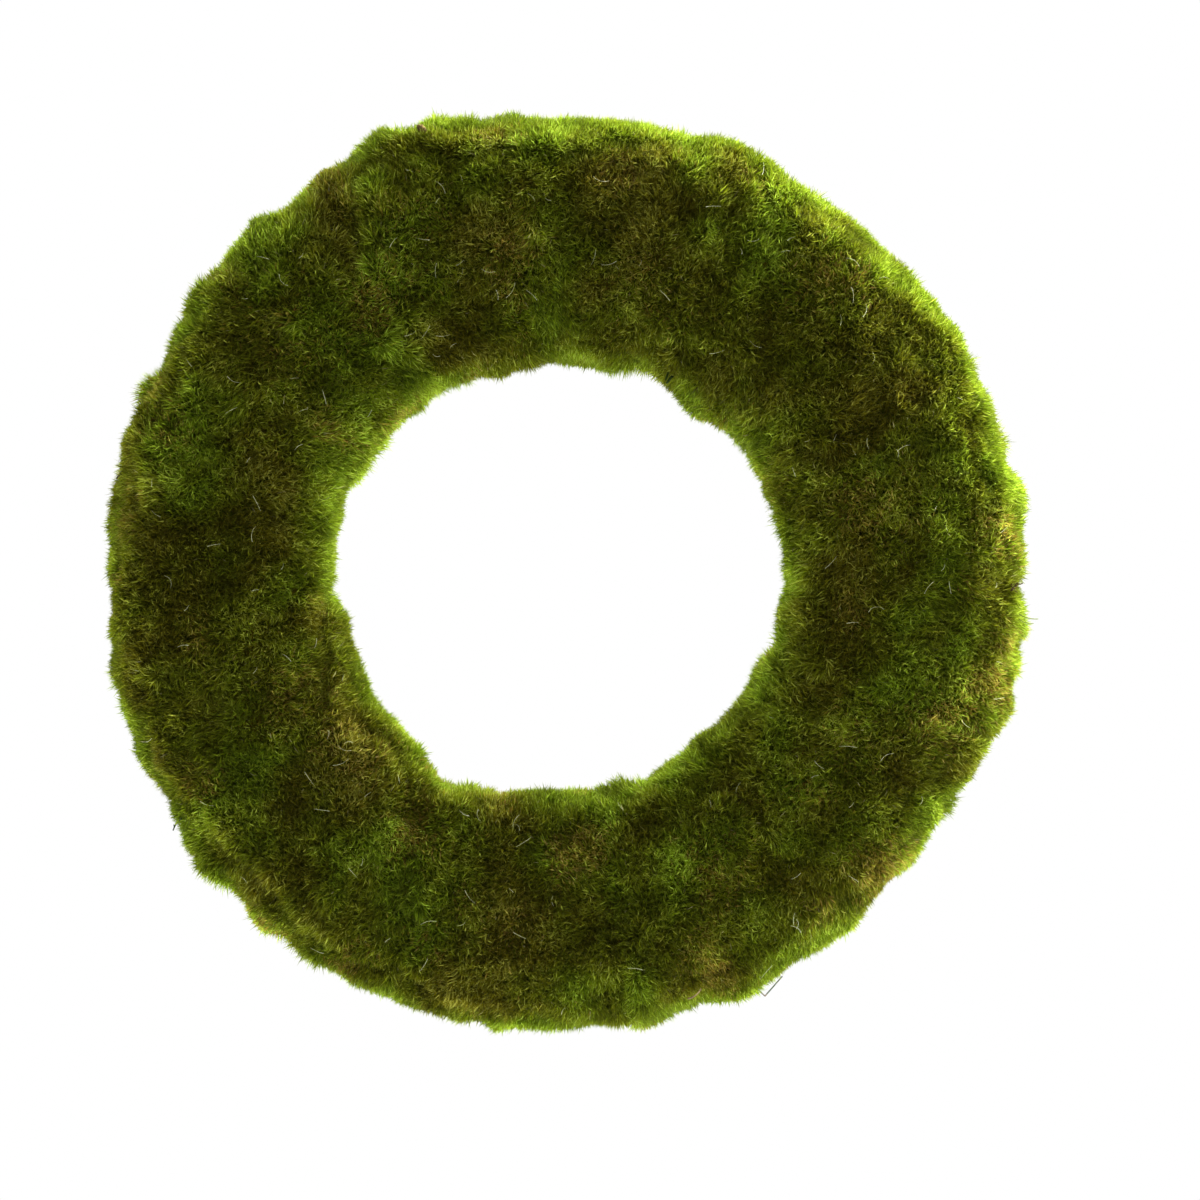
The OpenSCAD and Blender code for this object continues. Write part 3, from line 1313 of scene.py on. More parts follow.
class Patchwork:
    """Clumps and patches that the moss is laid in, each with its own lean and shade."""

    CHUNK = 20_000
    TUFT_AT = 1.5
    TUFT_EXTRA = 0.45

    def __init__(self, rng: np.random.Generator, surface: Surface, size: float) -> None:
        """Scatters the middles of the clumps.

        Args:
            rng: The random source.
            surface: The surface that they cover.
            size: Their usual size.
        """
        count = max(3, int(surface.area() / size**2))
        _, _, self.centres, _ = surface.scatter(rng, count)
        self.lean = rng.normal(size=(count, 3))
        self.shade = rng.normal(size=count)
        self.tall = np.where(self.shade > self.TUFT_AT, self.TUFT_EXTRA, 0.0) + 0.07 * self.lean[:, 0]

    def find(self, points: np.ndarray) -> tuple[np.ndarray, np.ndarray]:
        """The clump of each point and how near the point is to the clump's border.

        Args:
            points: Places on the surface.

        Returns:
            Each point's clump number, and the gap between its two nearest middles.
        """
        number = np.empty(len(points), int)
        gap = np.empty(len(points))
        for start in range(0, len(points), self.CHUNK):
            part = points[start : start + self.CHUNK]
            away = np.linalg.norm(part[:, None] - self.centres[None], axis=2)
            near = np.argpartition(away, 1, axis=1)[:, :2]
            ends = np.take_along_axis(away, near, axis=1)
            first = ends.argmin(axis=1)
            number[start : start + self.CHUNK] = near[np.arange(len(part)), first]
            gap[start : start + self.CHUNK] = np.abs(ends[:, 0] - ends[:, 1])
        return number, gap


@dataclass(frozen=True)
class PileLayer:
    """One kind of blade in the pile and how it grows."""

    blade: MeshBlock
    density: float
    length: float
    width: float
    bend: float
    lighter: float


@dataclass
class MossCushion:
    """One cushion of moss: a matted base folded round the straw, and its pile of blades."""

    LIGHT_SHARES = (0.22, 0.26, 0.28, 0.16, 0.08)
    TONE_LIMITS = (0.02, 0.55)
    BROWN_TONES = (0.62, 0.88)
    BLEACHED_TONE = 0.99
    BLEACHED_SHARE = 0.003
    MOST_LEAN = 1.4
    RISE_LIMITS = (-6 * MM, 9 * MM)

    number: int
    sections: list
    growth: MossGrowth
    layers: tuple[PileLayer, ...]
    mat_material: bpy.types.Material
    blade_material: bpy.types.Material
    mat_t: float = 6 * MM
    back_inset: float = 2.5 * MM
    back_pile: float = 5.0 * MM
    angle_steps: int = 60
    seam_half: float = 0.0012
    seam_lean_run: float = 6.0 * MM
    sunk: float = 1.5 * MM
    seam_sunk: float = 4.0 * MM
    seam_run: float = 9.0 * MM

    def __post_init__(self) -> None:
        """Takes the outline of the cushion's solid."""
        self.section = self.sections[self.number]
        self.node = self.section.node
        self.ring = self.section.ring
        self.rng = np.random.default_rng(SEED * 100 + self.number)

    def rise(self, points: np.ndarray) -> np.ndarray:
        """How far the cushion's surface stands out past its even outline.

        Args:
            points: Places on the cushion.

        Returns:
            The rise at each of them.
        """
        out = reach_of(points) - self.ring.middle
        middle = (self.section.start + self.section.end) / 2
        angle = middle + self.section.away_from_middle(points)
        rise = self.growth.rise(points) + self.growth.match(self.sections, self.number, angle, out)
        return np.clip(rise, *self.RISE_LIMITS)

    def surface(self) -> Surface:
        """The surface that the blades grow from."""
        line = self.section.outline(self.growth.inset, self.back_inset)
        return Surface(self.ring, line, self.section.start, self.section.end)

    def build_mat(self) -> bpy.types.Object:
        """Models the base: its section is spun round the ring, then pushed out into lumps.

        Returns:
            The closed mat.
        """
        section = self.section
        skin = section.outline(self.growth.inset, self.back_inset)
        under = section.outline(self.growth.inset + self.mat_t, self.back_inset + self.mat_t * 0.6)
        loop = np.concatenate([skin, under[::-1]])
        deselect_all()
        bpy.ops.mesh.primitive_circle_add(vertices=len(loop), radius=1, fill_type="NOTHING")
        piece = bpy.context.object
        piece.name = piece.data.name = self.node + "_mat"
        start, end = section.start - self.seam_half, section.end + self.seam_half
        places = self.ring.placed(loop[:, 0], loop[:, 1], np.full(len(loop), start))
        write_vertices(piece.data, places)
        bpy.ops.object.mode_set(mode="EDIT")
        bpy.ops.mesh.select_all(action="SELECT")
        bpy.ops.mesh.spin(steps=self.angle_steps, angle=end - start, center=(0, 0, 0), axis=(0, 1, 0))
        bpy.ops.object.mode_set(mode="OBJECT")
        self.close_ends(piece, len(loop))
        self.push_out(piece)
        dress(piece, self.mat_material)
        return piece

    @staticmethod
    def close_ends(piece: bpy.types.Object, per_ring: int) -> None:
        """Bridges the two open ends of the mat with quads between its skin and its underside.

        Args:
            piece: The spun mat.
            per_ring: Points in one turn of its section.
        """
        work = bmesh.new()
        work.from_mesh(piece.data)
        work.verts.ensure_lookup_table()
        last = per_ring - 1
        for first in (0, len(work.verts) - per_ring):
            ring = [work.verts[first + i] for i in range(per_ring)]
            for i in range(per_ring // 2 - 1):
                work.faces.new((ring[i], ring[i + 1], ring[last - 1 - i], ring[last - i]))
        bmesh.ops.recalc_face_normals(work, faces=work.faces)
        for face in work.faces:
            face.smooth = True
        work.to_mesh(piece.data)
        work.free()

    def push_out(self, piece: bpy.types.Object) -> None:
        """Moves the mat in and out by the wreath's lumps, its skin and its underside alike.

        Args:
            piece: The closed mat.
        """
        points, normals = read_vertices(piece.data), read_vertices(piece.data, "normal")
        reach = reach_of(points)
        radial = points * [1, 0, 1] / reach[:, None]
        middle = radial * self.ring.middle
        outward = np.sign(((points - middle) * normals).sum(axis=1))
        turn = self.section.away_from_middle(points)
        to_seam = ((self.section.end - self.section.start) / 2 - np.abs(turn)) * reach
        sunk = self.sunk + self.seam_sunk * (1 - smooth_step(to_seam, 0.0, self.seam_run))
        away = self.rise(points) - sunk
        front = smooth_step(-points[:, 1], self.section.back_h, self.section.side_h)
        write_vertices(piece.data, points + normals * (away * front * outward)[:, None])

    def folded(self, root: np.ndarray) -> np.ndarray:
        """How far each root is on the folded edge at the back, from 0 to 1."""
        back_h, side_h = self.section.back_h, self.section.side_h
        return 1 - smooth_step(-root[:, 1], back_h + 3 * MM, back_h + 0.6 * (side_h - back_h))

    def leaned(self, lean: np.ndarray, normal: np.ndarray) -> np.ndarray:
        """Keeps a lean along the surface, and within its limit.

        Args:
            lean: The lean of each blade.
            normal: The outward normals.

        Returns:
            The lean that the blades take.
        """
        lean = lean - (lean * normal).sum(1, keepdims=True) * normal
        return unit(lean) * np.minimum(np.linalg.norm(lean, axis=1, keepdims=True), self.MOST_LEAN)

    def grow(self, layer: PileLayer, clumps: Patchwork, patches: Patchwork) -> tuple:
        """Grows one layer of the pile.

        Args:
            layer: The kind of blade.
            clumps: The small tufts that blades stand in.
            patches: The larger patches of moss.

        Returns:
            The places and the map values of every blade's points.
        """
        surface, growth, rng = self.surface(), self.growth, self.rng
        count = int(surface.area() * layer.density)
        _, angle, root, normal = surface.scatter(rng, count)
        clump, clump_gap = clumps.find(root + 2.0 * MM * growth.ruffle.at(root))
        patch, patch_gap = patches.find(root + 6.0 * MM * growth.sweep.at(root))
        edge = np.minimum(angle - surface.start, surface.end - angle) * reach_of(root)
        seam = 1 - smooth_step(edge, 0.0, self.seam_lean_run)
        side = np.sign(angle - (surface.start + surface.end) / 2)[:, None]
        to_seam = side * np.stack([-np.sin(angle), np.zeros(count), np.cos(angle)], axis=1)
        lean = (
            0.30 * (root - clumps.centres[clump]) / growth.clump_size
            + 0.12 * patches.lean[patch]
            + 0.10 * clumps.lean[clump]
            + 0.14 * growth.sweep.at(root)
            + 0.16 * growth.ruffle.at(root)
            + 0.40 * rng.normal(size=(count, 3))
            + 0.40 * to_seam * seam[:, None]
            + 0.50 * growth.over_lips(root)
        )
        lean = self.leaned(lean, normal)

        dry, folded = growth.dryness(root), self.folded(root)
        dome = smooth_step(clump_gap, 0.0, 9 * MM)
        crack = 1 - smooth_step(patch_gap, 0.0, 5 * MM)
        height = layer.length * (0.86 + 0.16 * dome) * rng.normal(1.0, 0.11, count).clip(0.6, 1.4)
        height *= (1 - 0.40 * dry) * (1 - 0.22 * crack) * (1 - 0.10 * seam) * (1 + clumps.tall[clump])
        height = height * (1 - folded) + self.back_pile * folded * rng.uniform(0.5, 1.2, count)
        root = root + normal * (self.rise(root) * (1 - folded) - self.sunk)[:, None]

        sideways = unit(np.cross(rng.normal(size=(count, 3)), normal + lean))
        width = layer.width * rng.uniform(0.75, 1.35, count)
        places = self.along_blades(root, normal, lean, height, layer.bend, layer.blade.points[:, 2])
        places += sideways[:, None] * (width[:, None] * layer.blade.points[None, :, 0] / 2)[:, :, None]
        tone = growth.tone(root, -normal[:, 1]) + layer.lighter
        tone += 0.040 * patches.shade[patch] + 0.020 * clumps.shade[clump] + 0.05 * rng.normal(size=count)
        return places, self.paint(tone, growth.lightness(root), dry, folded, layer.blade)

    @staticmethod
    def along_blades(
        root: np.ndarray,
        normal: np.ndarray,
        lean: np.ndarray,
        height: np.ndarray,
        bend: float,
        level: np.ndarray,
    ) -> np.ndarray:
        """Places on the middle lines of the blades.

        Args:
            root: Where the blades start.
            normal: The way they stand.
            lean: The way they lean over, and how far.
            height: Their lengths.
            bend: How much of the lean comes from bending.
            level: Shares of the length at which places are wanted.

        Returns:
            Blades by levels by three.
        """
        s = level[None, :, None]
        grown = normal[:, None] * s + lean[:, None] * ((1 - bend) * s + bend * s * s)
        length = np.sqrt(1 + (lean**2).sum(1))[:, None, None]
        return root[:, None] + height[:, None, None] * grown / length

    def paint(
        self,
        tone: np.ndarray,
        lightness: np.ndarray,
        dry: np.ndarray,
        folded: np.ndarray,
        blade: MeshBlock,
    ) -> np.ndarray:
        """Places every blade on the map: across it by tone, and up it from root to tip.

        Args:
            tone: How light and yellow each blade's green is.
            lightness: How much lighter or darker the blades are there, in steps of painted light and
                shade.
            dry: How brown the moss is there.
            folded: How far it is on the folded edge at the back.
            blade: The blade's points.

        Returns:
            The map's values, as blades by points by two.
        """
        rng, count = self.rng, len(tone)
        tone = np.clip(tone, *self.TONE_LIMITS)
        brown = rng.uniform(*self.BROWN_TONES, count)
        turned = rng.uniform(size=count) < np.clip(dry * 0.95 + 0.35 * folded, 0, 1)
        tone = np.where(turned, brown, tone)
        tone = np.where(rng.uniform(size=count) < self.BLEACHED_SHARE, self.BLEACHED_TONE, tone)
        tones, lights = BladeFinish.tones, len(BladeFinish.lights)
        columns = tones * lights
        # Painted light and shade: each blade takes a lit or shaded step of its colour, drawn at random
        # and moved by lightness; it is lighter where the moss is dry.
        drawn = rng.choice(lights, size=count, p=self.LIGHT_SHARES)
        light = drawn + np.round(lightness + 0.7 * dry + rng.uniform(-0.5, 0.5, count))
        light = light.clip(0, lights - 1)
        column = np.floor(tone * tones).clip(0, tones - 1) * lights + light
        middle = (column + 0.5) / columns
        side = np.sign(blade.points[:, 0]) * 0.45 / columns
        uv = np.empty((count, len(blade.points), 2))
        uv[:, :, 0] = middle[:, None] + side[None]
        uv[:, :, 1] = 0.01 + 0.98 * blade.points[None, :, 2]
        return uv

    def build_pile(self) -> bpy.types.Object:
        """Grows every layer of blades and joins them.

        Returns:
            One piece that holds every blade of the cushion.
        """
        clumps = Patchwork(self.rng, self.surface(), self.growth.clump_size)
        patches = Patchwork(self.rng, self.surface(), self.growth.patch_size)
        parts = []
        for i, layer in enumerate(self.layers):
            places, uv = self.grow(layer, clumps, patches)
            name, map_name = f"{self.node}_layer_{i}", BladeFinish.map_name
            parts.append(layer.blade.build(name, places, self.blade_material, map_name, uv))
        return join(parts, self.node + "_pile")

    def build(self) -> None:
        """Builds the mat and the pile and hands them to the frame."""
        mat, pile = self.build_mat(), self.build_pile()
        hand_over(mat, replaced=(self.node,))
        hand_over(pile)
        LOG.info("%s: %d faces of pile", self.node, len(pile.data.polygons))


# ---------------------------------------------------------------- frame, straw and wires


@dataclass
class WireFrame:
    """The dished frame of four rings and its cross stays, and the pins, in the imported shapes."""

    ring: RingSizes
    stays: int = 8
    first_stay: float = 15.0
    lacquer: WireFinish = WireFinish(
        "green_lacquer", (0.014, 0.055, 0.020), (0.20, 0.14, 0.09), 0.0, 0.06, 0.30, 0.25
    )
    steel: WireFinish = WireFinish(
        "pin_steel", (0.34, 0.33, 0.31), (0.18, 0.11, 0.07), 1.0, 0.12, 0.36
    )
    bead: tuple[float, float, float] = (2.1 * MM, 1.9 * MM, 1.0 * MM)

    def build(self) -> None:
        """Gives the frame's and the pins' solids their finishes, and adds the welds."""
        lacquer, steel = self.lacquer.make(), self.steel.make()
        for name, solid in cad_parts.items():
            if name.startswith("frame_"):
                dress(solid, lacquer)
            elif name.startswith("greening_pins"):
                dress(solid, steel)
        hand_over(self.build_welds(lacquer))
        LOG.info("wire frame, welds and pins")

    def build_welds(self, material: bpy.types.Material) -> bpy.types.Object:
        """Models one flattened bead of weld and copies it to each crossing.

        Args:
            material: The frame's material.

        Returns:
            All the beads as one piece.
        """
        deselect_all()
        bpy.ops.mesh.primitive_uv_sphere_add(segments=12, ring_count=8, radius=1)
        bead = bpy.context.object
        bead.scale = self.bead
        settle(bead)
        block = block_of(bead)
        rng = np.random.default_rng(SEED + 5)
        crossings = [
            (side.value * at[0], at[1], self.first_stay + i * 360 / self.stays)
            for at in (self.ring.side_at, self.ring.back_at)
            for side in Side
            for i in range(self.stays)
        ]
        out, height, angle = np.array(crossings).T
        middles = self.ring.placed(out, height + self.ring.wire_r, np.radians(angle))
        size = rng.uniform(0.85, 1.2, (len(crossings), 1, 3))
        places = middles[:, None] + self.turned(block.points[None] * size, np.radians(angle))
        return block.build("frame_welds", places, material)

    @staticmethod
    def turned(points: np.ndarray, angle: np.ndarray) -> np.ndarray:
        """Turns each copy's points round the wreath's axis: x becomes the way out.

        Args:
            points: Copies by points by three.
            angle: The angle of each copy.

        Returns:
            The turned points.
        """
        c, s = np.cos(angle)[:, None], np.sin(angle)[:, None]
        x, y, z = points[..., 0], points[..., 2], points[..., 1]
        return np.stack([x * c - z * s, -y, x * s + z * c], axis=-1)


@dataclass
class StrawCore:
    """Straw packed into the frame: a rounded body, and loose stalks over its open back."""

    ring: RingSizes
    stalks: int = 1500
    stalk_r: tuple[float, float] = (0.8 * MM, 1.6 * MM)
    stalk_l: tuple[float, float] = (45 * MM, 110 * MM)
    open_w: float = 64 * MM
    voxel: float = 3.2 * MM
    sunk: float = 1.1 * MM
    rough: float = 0.5 * MM
    dish_slope: float = 0.62
    sides: int = 6
    joints: int = 6

    def build_body(self) -> bpy.types.Object:
        """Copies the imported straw's mesh, divides it and roughens it.

        Returns:
            The body of the straw.
        """
        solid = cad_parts["straw_core"]
        piece = bpy.data.objects.new("straw_body", solid.data.copy())
        piece.data.name = "straw_body"
        bpy.context.scene.collection.objects.link(piece)
        make_active(piece)
        remesh = piece.modifiers.new("even_faces", "REMESH")
        remesh.mode = "VOXEL"
        remesh.voxel_size = self.voxel
        bpy.ops.object.modifier_apply(modifier=remesh.name)
        points = read_vertices(piece.data)
        rng = np.random.default_rng(SEED + 1)
        angle = np.arctan2(points[:, 2], points[:, 0])
        along = np.stack([angle * self.ring.middle * 0.12, points[:, 1], reach_of(points)], axis=1)
        rough = Waves(rng, 4 * MM).at(along)[:, 0] + 0.6 * Waves(rng, 9 * MM).at(along)[:, 0]
        middle = self.ring.placed(np.zeros(len(points)), np.zeros(len(points)), angle)
        inward = unit(middle - points) * (self.sunk + self.rough * rough)[:, None]
        write_vertices(piece.data, points + inward)
        bpy.ops.object.shade_smooth()
        dress(piece, StrawFinish("straw_packed").make())
        return piece

    def model_stalk(self) -> MeshBlock:
        """Models an open stalk, one unit long and one in radius.

        Returns:
            Its points and faces, ring after ring.
        """
        deselect_all()
        bpy.ops.mesh.primitive_circle_add(vertices=self.sides, radius=1, fill_type="NOTHING")
        piece = bpy.context.object
        bpy.ops.object.mode_set(mode="EDIT")
        bpy.ops.mesh.select_all(action="SELECT")
        for _ in range(self.joints):
            bpy.ops.mesh.extrude_region_move(TRANSFORM_OT_translate={"value": (0, 0, 1 / self.joints)})
        bpy.ops.mesh.select_all(action="SELECT")
        bpy.ops.mesh.normals_make_consistent(inside=False)
        bpy.ops.object.mode_set(mode="OBJECT")
        return block_of(piece)

    def build_stalks(self) -> bpy.types.Object:
        """Lays stalks round the ring over the back of the straw.

        Returns:
            All the stalks as one piece.
        """
        rng = np.random.default_rng(SEED + 2)
        block, count = self.model_stalk(), self.stalks
        back_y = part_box("straw_core")[1].y
        radius = rng.uniform(*self.stalk_r, count)
        length = rng.uniform(*self.stalk_l, count)
        out = rng.uniform(-0.5, 0.5, count) * self.open_w
        slope = np.maximum(np.abs(out) - self.ring.back_at[0], 0.0) * self.dish_slope
        depth = rng.uniform(0.0, 3.2 * MM, count) + radius * 0.6
        start = rng.uniform(0, 2 * math.pi, count)
        skew = rng.normal(0, 0.09, count)
        bow = rng.normal(0, 2.2 * MM, count)
        lift = rng.normal(0, 0.8 * MM, count)
        s = block.points[None, :, 2]
        run = (s - 0.5) * length[:, None]
        arch = arc(s)
        angle = start[:, None] + run / self.ring.middle
        across = out[:, None] + run * np.sin(skew)[:, None] + bow[:, None] * arch
        height = -back_y + (slope + depth)[:, None] + lift[:, None] * arch * 0.5
        taper = 1 - 0.25 * s
        across = across + block.points[None, :, 0] * radius[:, None] * taper
        height = height + block.points[None, :, 1] * radius[:, None] * taper
        places = self.ring.placed(across, height, angle)
        columns = StrawStalkFinish.columns
        column = rng.integers(0, columns, count)
        uv = np.empty((count, len(block.points), 2))
        turn = np.arctan2(block.points[:, 1], block.points[:, 0]) / (2 * math.pi) + 0.5
        uv[:, :, 0] = (column[:, None] + 0.1 + 0.8 * turn[None]) / columns
        uv[:, :, 1] = 0.01 + 0.98 * s
        material = StrawStalkFinish().make()
        return block.build("straw_stalks", places, material, StrawStalkFinish.map_name, uv)

    def build(self) -> None:
        """Builds the body and the stalks and hands them over."""
        hand_over(self.build_body(), replaced=("straw_core",))
        hand_over(self.build_stalks())
        LOG.info("straw: a body and %d stalks", self.stalks)


@dataclass
class BindingWire:
    """Thin wire wound round the frame and the straw in one run, and its loose end."""

    ring: RingSizes
    wire: WireFinish = WireFinish(
        "binding_lacquer", (0.050, 0.085, 0.040), (0.26, 0.20, 0.15), 0.2, 0.10, 0.32
    )
    turns: int = 24
    radius: float = 0.45 * MM
    around: float = 0.15 * MM
    widest_over: float = 18 * MM
    wander: float = 0.35

    def section(self) -> np.ndarray:
        """One turn of the wire, seen along the ring.

        Returns:
            Points as distance out and height: over the front first, and then over the back.
        """
        wire_r, grow = self.ring.wire_r, self.radius + self.around
        straw_low, straw_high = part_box("straw_core")
        half_w = straw_high.x - self.ring.middle + grow
        top = -straw_low.y + grow
        front = rounded(half_w, half_w, self.ring.side_at[1] + self.widest_over, top, 28)
        reach = wire_r + grow
        side = (self.ring.side_at[0] + reach, self.ring.side_at[1] - reach)
        back = (self.ring.back_at[0] + reach, self.ring.back_at[1] - reach)
        rear = np.array([(-side[0], side[1]), (-back[0], back[1]), back, side])
        rear = np.concatenate([np.linspace(rear[i], rear[i + 1], 5)[:-1] for i in range(3)])
        return np.concatenate([front, rear])

    def line(self) -> np.ndarray:
        """Path of the wire: it crosses the back almost straight and moves on over the front.

        Returns:
            The points of all the turns, in order. The last one leads back to the first.
        """
        section = self.section()
        share = np.linspace(0, 1, len(section), endpoint=False)
        moved = smooth_step(share, 0.05, 0.62)
        rng = np.random.default_rng(SEED + 3)
        shift = rng.normal(0, self.wander, self.turns + 1)
        shift[-1] = shift[0]
        step = 360 / self.turns
        line = []
        for turn in range(self.turns):
            start, end = shift[turn], step + shift[turn + 1]
            angle = np.radians((turn - 0.5) * step + start + (end - start) * moved)
            line.append(self.ring.placed(section[:, 0], section[:, 1], angle))
        return np.concatenate(line)

    def build(self) -> None:
        """Builds the wound wire and dresses its loose end."""
        material = self.wire.make()
        wound = wire_through("binding_wire_wound", self.line(), self.radius, material, closed=True)
        hand_over(wound, replaced=("binding_wire",))
        dress(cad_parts["binding_wire_end"], material)
        LOG.info("binding wire: %d turns", self.turns)


@dataclass
class HangingLoop:
    """The wire loop at the back, with its eyes bound by a few turns of thin wire."""

    steel: WireFinish = WireFinish(
        "loop_steel", (0.36, 0.35, 0.33), (0.20, 0.13, 0.08), 1.0, 0.10, 0.32
    )
    turns: int = 5
    wrap_r: float = 0.4 * MM
    leg_r: float = 0.9 * MM
    below_eye: float = 0.6 * MM
    pitch: float = 2.1

    def build(self) -> None:
        """Dresses the loop and adds the wraps, which swing with it."""
        material = self.steel.make()
        dress(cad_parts[LOOP], material)
        low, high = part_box(LOOP)
        y = (low.y + high.y) / 2
        eye_r = (high.y - low.y) / 2
        wraps = []
        for side in Side:
            x = side.value * ((high.x - low.x) / 2 - self.leg_r)
            top = high.z - 2 * eye_r - self.below_eye
            turn = np.linspace(0, 2 * math.pi * self.turns, 14 * self.turns)
            reach = self.leg_r + self.wrap_r
            drop = turn / (2 * math.pi) * self.pitch * self.wrap_r
            points = np.stack([x + reach * np.cos(turn), y + reach * np.sin(turn), top - drop], axis=1)
            wraps.append(wire_through(f"loop_wrap_{side.name.lower()}", points, self.wrap_r, material))
        hand_over(join(wraps, "loop_wraps"), LOOP)
        LOG.info("hanging loop and its wraps")


# ---------------------------------------------------------------- what is caught in the moss


class Litter(Enum):
    """What a strand is made of."""

    STRAW = "straw"
    TWIG = "twig"
    SPRIG = "sprig"
    BLADE = "blade"


@dataclass(frozen=True)
class Strand:
    """A strand that lies in the moss, from one spot to another.

    A spot is an angle round the wreath in degrees and a distance out from the middle of the ring's
    width. All the lengths are in millimetres.
    """

    name: str
    kind: Litter
    start: tuple[float, float]
    end: tuple[float, float]
    radius: float
    bow: float
    arch: float = 0.0
    lift: float = 0.0
    lift_end: float = 0.0
    taper: tuple[float, float] = (1.0, 0.7)


STRANDS = (
    Strand("straw_strand", Litter.STRAW, (-73.6, 68), (-71.6, 64), 0.55, 0.8, arch=1),
    Strand("twig_right", Litter.TWIG, (-2.4, 72), (-1.5, 78), 1.1, 0.8, lift_end=1),
    Strand("twig_right_fork", Litter.TWIG, (-1.7, 73), (-2.7, 77), 0.8, 0.4),
    Strand("twig_right_tip", Litter.TWIG, (-1.6, 76), (-1.5, 80), 0.5, 0.5, lift_end=2),
    Strand("sprig_left", Litter.SPRIG, (213.0, 76), (213.6, 84), 0.6, 0.8, lift_end=5),
    Strand("sprig_left_fork", Litter.SPRIG, (213.4, 79), (213.1, 82), 0.5, 0.3, lift=1, lift_end=3),
    Strand("twig_far_left", Litter.TWIG, (167.6, 75), (168.2, 78), 0.7, 0.3),
    Strand("sprig_hole", Litter.SPRIG, (60.6, -79), (61.0, -80), 1.0, 0.6, lift=-1, lift_end=6),
    Strand("sprig_hole_fork", Litter.SPRIG, (61.9, -79), (61.6, -80), 0.8, 0.4, lift=-1, lift_end=5),
    Strand("stray_blade", Litter.BLADE, (-5.4, 78), (-5.7, 86), 0.4, 1.0, lift_end=7),
    Strand("stray_blade_low", Litter.BLADE, (-6.0, 78), (-6.3, 86), 0.4, 1.0, lift_end=3),
)


